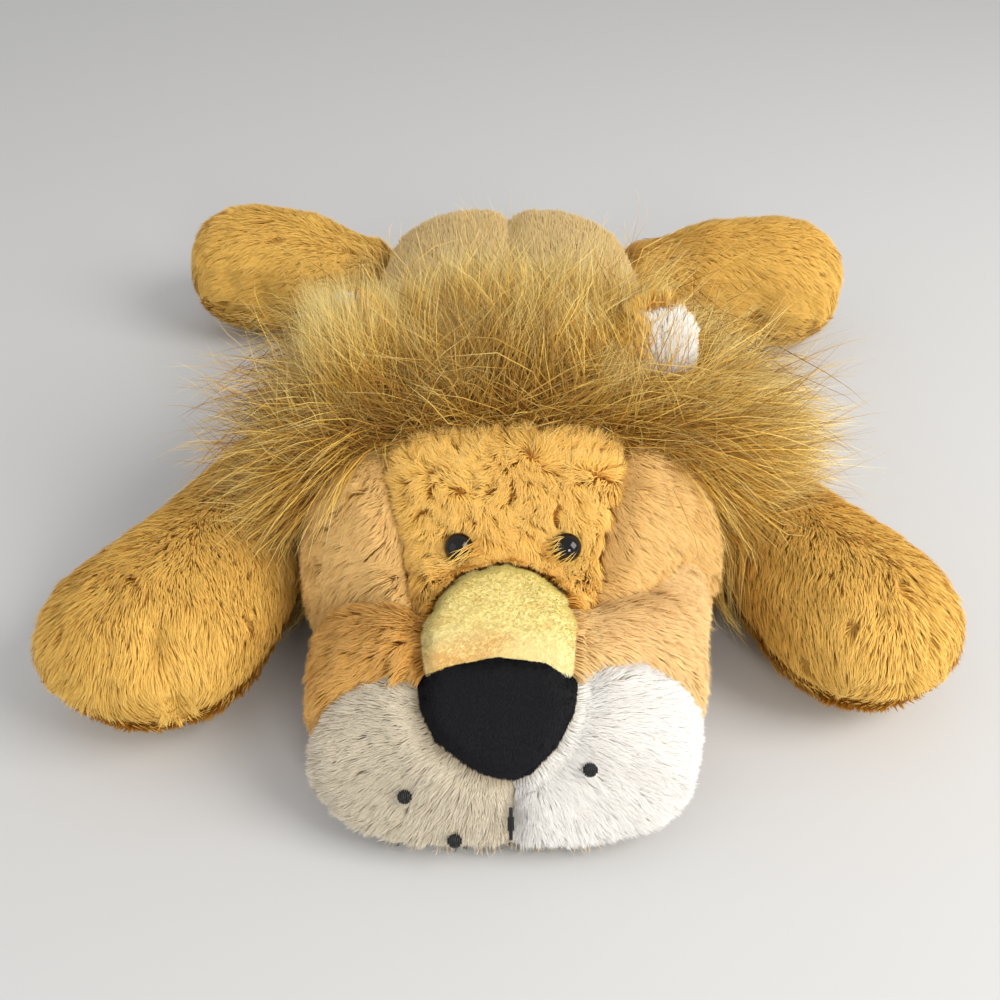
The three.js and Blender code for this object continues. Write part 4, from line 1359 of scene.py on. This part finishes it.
def side_hair(side, count, envelope):
    """Longer hair that stands out at one side of the mane, over the front leg's root."""
    rng = rng_for("side_hair_" + side)
    corners, outer = envelope
    middles = corners[outer].mean(axis=1)
    beside = (middles[:, 0] - MANE_CENTRE[0]) * OUTER_WAY[side] > 58 * MM
    middles = middles[beside & (middles[:, 2] > 36 * MM) & (middles[:, 2] < 96 * MM)]
    start = middles[rng.choice(len(middles), size=count)] + rng.normal(0, 5 * MM, (count, 3))
    gathered = waves(start, 18 * MM, 17)[:, None] * np.array([0, 0.5, 0.4])
    heading = unit(np.array([OUTER_WAY[side], -0.2, 0.3]) + gathered + rng.normal(0, 0.3, (count, 3)))
    length = rng.uniform(24, 50, count) * MM
    return falling(start - heading * 9 * MM, heading, length, 0.14, 0.07, rng), tones(0.42, 0.2, count, rng)


def pushed_out(lines, tree, clearance, rng):
    """Strands that would pass into a form lie on it."""
    for row, column in np.argwhere(inside_box(lines, tree[1], tree[2])):
        if column == 0:
            continue
        place, normal, _, _ = tree[0].find_nearest(lines[row, column])
        if (Vector(lines[row, column]) - place).dot(normal) < clearance:
            lines[row, column] = place + normal * (clearance + rng.random() * LOOSE_LAYER)
    return lines


def inside_box(lines, low, high):
    """Which points lie in a box."""
    return np.all((lines > low) & (lines < high), axis=2)


def form_tree(skin):
    """A search tree over a skin's outer surface, with its box."""
    tree = BVHTree.FromPolygons(skin.outer.tolist(), skin.faces)
    return tree, skin.outer.min(axis=0), skin.outer.max(axis=0)


def gathered_hairs(hairs):
    """Groups of strands as one: their lines, their tones and how fine each is."""
    lines, tone, fine = zip(*hairs)
    fine = [np.broadcast_to(share, len(group)) for share, group in zip(fine, lines)]
    return np.concatenate(lines), np.concatenate(tone), np.concatenate(fine)


def make_mane():
    """The mane: backing on the back of the head with long pile, in three pieces side by side."""
    rng = rng_for("mane")
    envelope = mane_envelope()
    hairs = [
        (*grow_mane(envelope, rng), 1.0),
        (*beside_cheeks(CHEEK_HAIRS, rng), 0.9),
        (*fringe(FRINGE_HAIRS, rng), 0.9),
        (*wisps(WISPS, envelope, rng), 0.55),
        *[(*side_hair(side, count, envelope), 0.8) for side, count in SIDE_HAIRS.items()],
    ]
    lines, tone, fine = gathered_hairs(hairs)
    kept = clear_of_ears(lines, rng)
    hairs = [
        (lines[kept], tone[kept], fine[kept]),
        *[(*over_ear(side, *hair, rng), 1.0) for side, hair in EAR_HAIR.items()],
    ]
    lines, tone, fine = gathered_hairs(hairs)
    for form in ("front_leg_left", "front_leg_right", "torso"):
        lines = pushed_out(lines, form_tree(skins[form]), LEG_CLEARANCE, rng)
    lines[:, :, 2] = np.minimum(lines[:, :, 2], MANE_TOP + rng.random(lines.shape[:2]) * LOOSE_LAYER)
    lines = above_floor(lines, rng)
    root_x = lines[:, 0, 0] - MANE_CENTRE[0]
    limits = np.quantile(root_x, np.linspace(0, 1, len(MANE_PARTS) + 1))
    limits[0], limits[-1] = -1, 1
    centres = {face: scalp.points[list(face)].mean(axis=0) for face in scalp_faces}
    for name, low, high in zip(MANE_PARTS, limits, limits[1:]):
        faces = [
            face
            for face, centre in centres.items()
            if centre[2] > MANE_LOWEST_CLOTH and low <= centre[0] - MANE_CENTRE[0] < high
        ]
        kept = (root_x >= low) & (root_x < high)
        width = mane.width * rng.uniform(0.6, 1.3, kept.sum()) * fine[kept]
        upright = unit(lines[kept, 0] - MANE_CENTRE)
        hair = ribbons(lines[kept], upright, width, tone[kept], rng, twist=1.5, soft=SOFT_MANE)
        *arrays, shading = joined([backing(scalp, faces, MANE_LIFT), hair])
        piece = mesh_from(name + "_pile", *arrays, MATERIALS[mane.material], shading)
        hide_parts("mane")
        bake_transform(piece)


EAR_RIM = 13 * MM
# Where an ear is bent down or pressed in: where, how deep and how wide in millimetres.
EAR_DENTS = {
    "left": [((58, -36, 119), 4.5, (16, 9, 7)), ((62, -48, 110), 2, (4, 9, 9))],
    "right": [],
}


def make_ear(side):
    """An ear's back and lining. The back's pile also covers the inner edge of the lining."""
    ear, lining = "ear_" + side, "ear_lining_" + side
    depths = {ear: PILES["ear"].depth, lining: PILES["ear_lining"].depth}
    skin = Skin(ear, depths, 1.5 * MM, 5, seam_share=0.15, seam_width=1.5 * MM, dents=EAR_DENTS[side])
    inner_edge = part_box(lining)[0 if side == "left" else 1][0]
    nap = away_from(joint_of(ear))

    def on_rim(places):
        return np.clip(2.4 - (places[:, 0] - inner_edge) * OUTER_WAY[side] / EAR_RIM * 2, 0, 1)

    def off_rim(places):
        return 1 - on_rim(places)

    triangles = panel_triangles(skin, lining)[1]
    rim = strand_lines(skin, triangles, PILES["ear"], nap, rng_for("ear_rim_" + side), on_rim)
    make_panel(ear, ear, skin, PILES["ear"], nap, extra=[rim])
    make_panel(lining, ear, skin, PILES["ear_lining"], nap, off_rim)


TAIL_DEPTH = 3 * MM


def make_tail():
    """The tail's cover, stuffing and tuft."""
    skin = Skin("tail", {"tail_cover": TAIL_DEPTH}, 1.6 * MM, 8, fill=["tail_stuffing"])
    make_panel("tail_cover", "tail", skin, PILES["tail_cover"], level_towards(middle("tail_tuft")))
    make_stuffing(skin, "tail_stuffing", "tail", depth=0.5 * MM, lumps=0.2 * MM)
    pile = PILES["tail_tuft"]
    skin = Skin("tuft", {"tail_tuft": pile.depth}, 1.6 * MM, 12, hull=True)
    make_panel("tail_tuft", "tail", skin, pile, towards(1, 0.05, -0.1))


# Eyes, whisker dots and the mouth stitch

STITCH_LEAN = math.radians(63)
THREAD_RADIUS = 0.34 * MM
STITCH_POINTS = 15
STITCH_RISE = 1.6
EYE_SIDES = 40
EYE_EDGE = math.radians(40)
STEM_RIB = 1.5 * MM


def tube(points, radius, sides=8):
    """A round closed tube along points, thinner at both ends: corners, loops, sizes and pile map places."""
    count = len(points)
    along = unit(np.gradient(points, axis=0))
    across = unit(np.cross(along, np.array([0.13, 0.21, 0.97])))
    other = np.cross(along, across)
    turns = np.arange(sides) / sides * 2 * math.pi
    size = radius * np.sqrt(np.clip(1 - np.linspace(-1, 1, count) ** 6, 0.12, 1))
    rings = points[:, None] + size[:, None, None] * (
        across[:, None] * np.cos(turns)[None, :, None] + other[:, None] * np.sin(turns)[None, :, None]
    )
    low = [(i * sides + k, i * sides + (k + 1) % sides) for i in range(count - 1) for k in range(sides)]
    faces = [(a, b, b + sides, a + sides) for a, b in low]
    caps = [range(sides)[::-1], range((count - 1) * sides, count * sides)]
    loops = np.array([corner for face in (*faces, *caps) for corner in face])
    places = np.stack([loops % sides / sides, loops // sides / count], axis=1)
    places[4 * len(faces) :] = 0.5
    return rings.reshape(-1, 3), loops, np.array([4] * len(faces) + [sides] * 2), places


def turned(points, lean, place):
    """Points leaned back about X and moved to a place."""
    cosine, sine = math.cos(lean), math.sin(lean)
    turn = np.array([[1, 0, 0], [0, cosine, -sine], [0, sine, cosine]])
    return points @ turn.T + np.array(place)


def stitched(name, node, threads, half_width, half_length, height, rise):
    """A patch of satin stitches side by side over a low dome. Sizes in millimetres."""
    place = middle(node) + np.array([0, -math.sin(STITCH_LEAN), math.cos(STITCH_LEAN)]) * rise * MM
    turn = np.linspace(0, math.pi, STITCH_POINTS)
    parts = []
    rng = rng_for(node)
    for offset in np.linspace(-1, 1, threads):
        reach = math.sqrt(max(0.05, 1 - (offset * 0.92) ** 2))
        along = -np.cos(turn) * half_length * reach
        dome = np.sin(turn) * height * (0.45 + 0.55 * reach) - 0.6 * height
        across = np.full(STITCH_POINTS, offset * half_width) + rng.normal(0, 0.05)
        points = np.stack([across, along, dome], axis=1) * MM
        parts.append(tube(turned(points, STITCH_LEAN, place), THREAD_RADIUS))
    piece = mesh_from(name, *joined(parts), MATERIALS["black_thread"])
    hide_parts(node)
    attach(piece, "head")


def make_eye(side):
    """A glossy eye: a dome with a rolled rim on a ribbed stem."""
    node = "eye_" + side
    axis, apex, radius, length = eye_place(side)
    turns = np.linspace(math.pi / 2, 0, 16)
    profile = [(radius * math.cos(a), EYE_RISE * math.sin(a)) for a in turns]
    profile += [(radius * 0.99, -0.35 * MM), (radius * 0.94, -0.6 * MM), (2.2 * MM, -0.7 * MM)]
    stem_low = EYE_RISE - length
    height = -1.2 * MM
    while height > stem_low + STEM_RIB:
        profile += [(1.3 * MM, height), (1.75 * MM, height - STEM_RIB * 0.35)]
        profile += [(1.3 * MM, height - STEM_RIB * 0.8)]
        height -= STEM_RIB
    profile += [(1.2 * MM, stem_low + 0.3 * MM), (0.0, stem_low)]
    mesh = bpy.data.meshes.new(node + "_turned")
    mesh.from_pydata([(x, 0, z) for x, z in profile], [(i, i + 1) for i in range(len(profile) - 1)], [])
    eye = linked(node + "_turned", mesh)
    merging = {"use_merge_vertices": True, "merge_threshold": MERGE_REACH}
    modified(eye, "SCREW", steps=EYE_SIDES, render_steps=EYE_SIDES, **merging)
    edited(
        eye,
        (bpy.ops.mesh.remove_doubles, {"threshold": MERGE_REACH}),
        (bpy.ops.mesh.normals_make_consistent, {"inside": False}),
    )
    bpy.ops.object.shade_smooth_by_angle(angle=EYE_EDGE)
    move_points(eye.data, turned(points_of(eye.data), EYE_LEAN, apex - axis * EYE_RISE))
    eye.data.materials.append(MATERIALS["eye_gloss"])
    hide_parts(node)
    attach(eye, "head")
    washer = frame["nodes"]["eye_washer_" + side].data
    washer.materials.clear()
    washer.materials.append(MATERIALS["washer_nylon"])


make_mane()
for side in OUTER_WAY:
    make_ear(side)
    make_eye(side)
make_tail()
for dot, more in {"left": 0.4, "right_upper": 0.4, "right_lower": 1.6}.items():
    node = "whisker_dot_" + dot
    stitched(node + "_knot", node, 8, half_width=2.1, half_length=2.4, height=1.9, rise=STITCH_RISE + more)
stitched(
    "mouth_satin_stitch", "mouth_stitch", 4, half_width=0.8, half_length=6.2, height=1.6, rise=STITCH_RISE
)

# Floor, light and camera

# A large soft box from the upper right, and weaker ones from the left and the front: each lamp's
# place, aim, size, power in watts and colour.
LAMPS = {
    "key_light": ((0.95, -0.45, 0.9), (0, -0.05, 0.05), 0.8, 14, (1.0, 0.97, 0.92)),
    "fill_light": ((-0.9, -0.7, 0.8), (0, 0, 0.05), 1.0, 1.6, (0.95, 0.97, 1.0)),
    "front_light": ((0.35, -1.2, 0.6), (0, -0.1, 0.05), 0.3, 4.4, (1.0, 0.98, 0.95)),
}
WHITE = (1.0, 1.0, 1.0)
SKY_STRENGTH = 0.58
SEEN_SKY = 0.9  # the sky as the camera sees it


def make_stage():
    """A plain pale floor."""
    bpy.ops.mesh.primitive_plane_add(size=12, location=(0, 0, 0))
    floor = bpy.context.view_layer.objects.active
    floor.name = "floor"
    paper = shader_for("floor_paper").finish({"Base Color": srgb(206, 206, 206), "Roughness": 0.9})
    floor.data.materials.append(paper)


def soft_lamp(name, place, aim, size, power, colour):
    """A square soft box that points at a place."""
    lamp = bpy.data.lights.new(name, "AREA")
    lamp.shape = "SQUARE"
    lamp.size = size
    lamp.energy = power
    lamp.color = colour
    holder = linked(name, lamp)
    holder.location = place
    holder.rotation_euler = (Vector(aim) - Vector(place)).to_track_quat("-Z", "Y").to_euler()


def make_sky():
    """An even white sky, which the camera sees brighter than it lights."""
    sky = Shader(bpy.data.worlds.new("sky"))
    bpy.context.scene.world = sky.finish({"Color": WHITE, "Strength": SKY_STRENGTH}, "Background")
    lit = sky.tree.nodes["Background"].outputs[0]
    seen = sky.node("ShaderNodeBackground", None, {"Color": WHITE, "Strength": SEEN_SKY}).outputs[0]
    by_camera = sky.node("ShaderNodeLightPath").outputs["Is Camera Ray"]
    mixed = sky.node("ShaderNodeMixShader", None, {0: by_camera, 1: lit, 2: seen}).outputs[0]
    sky.finish({"Surface": mixed}, "World Output")


def make_camera():
    """A camera where the picture was taken from."""
    lens = bpy.data.cameras.new("camera")
    lens.sensor_width = CAMERA_SENSOR
    lens.lens = CAMERA_SENSOR / 2 / math.tan(math.radians(CAMERA_WIDTH_OF_VIEW / 2))
    lens.clip_start = 0.01
    camera = linked("camera", lens)
    camera.location = CAMERA_PLACE
    camera.rotation_euler = (math.radians(90 - CAMERA_PITCH), 0, 0)
    bpy.context.scene.camera = camera


make_stage()
for name, lamp in LAMPS.items():
    soft_lamp(name, *lamp)
make_sky()
make_camera()
bpy.context.scene.view_settings.view_transform = "Standard"
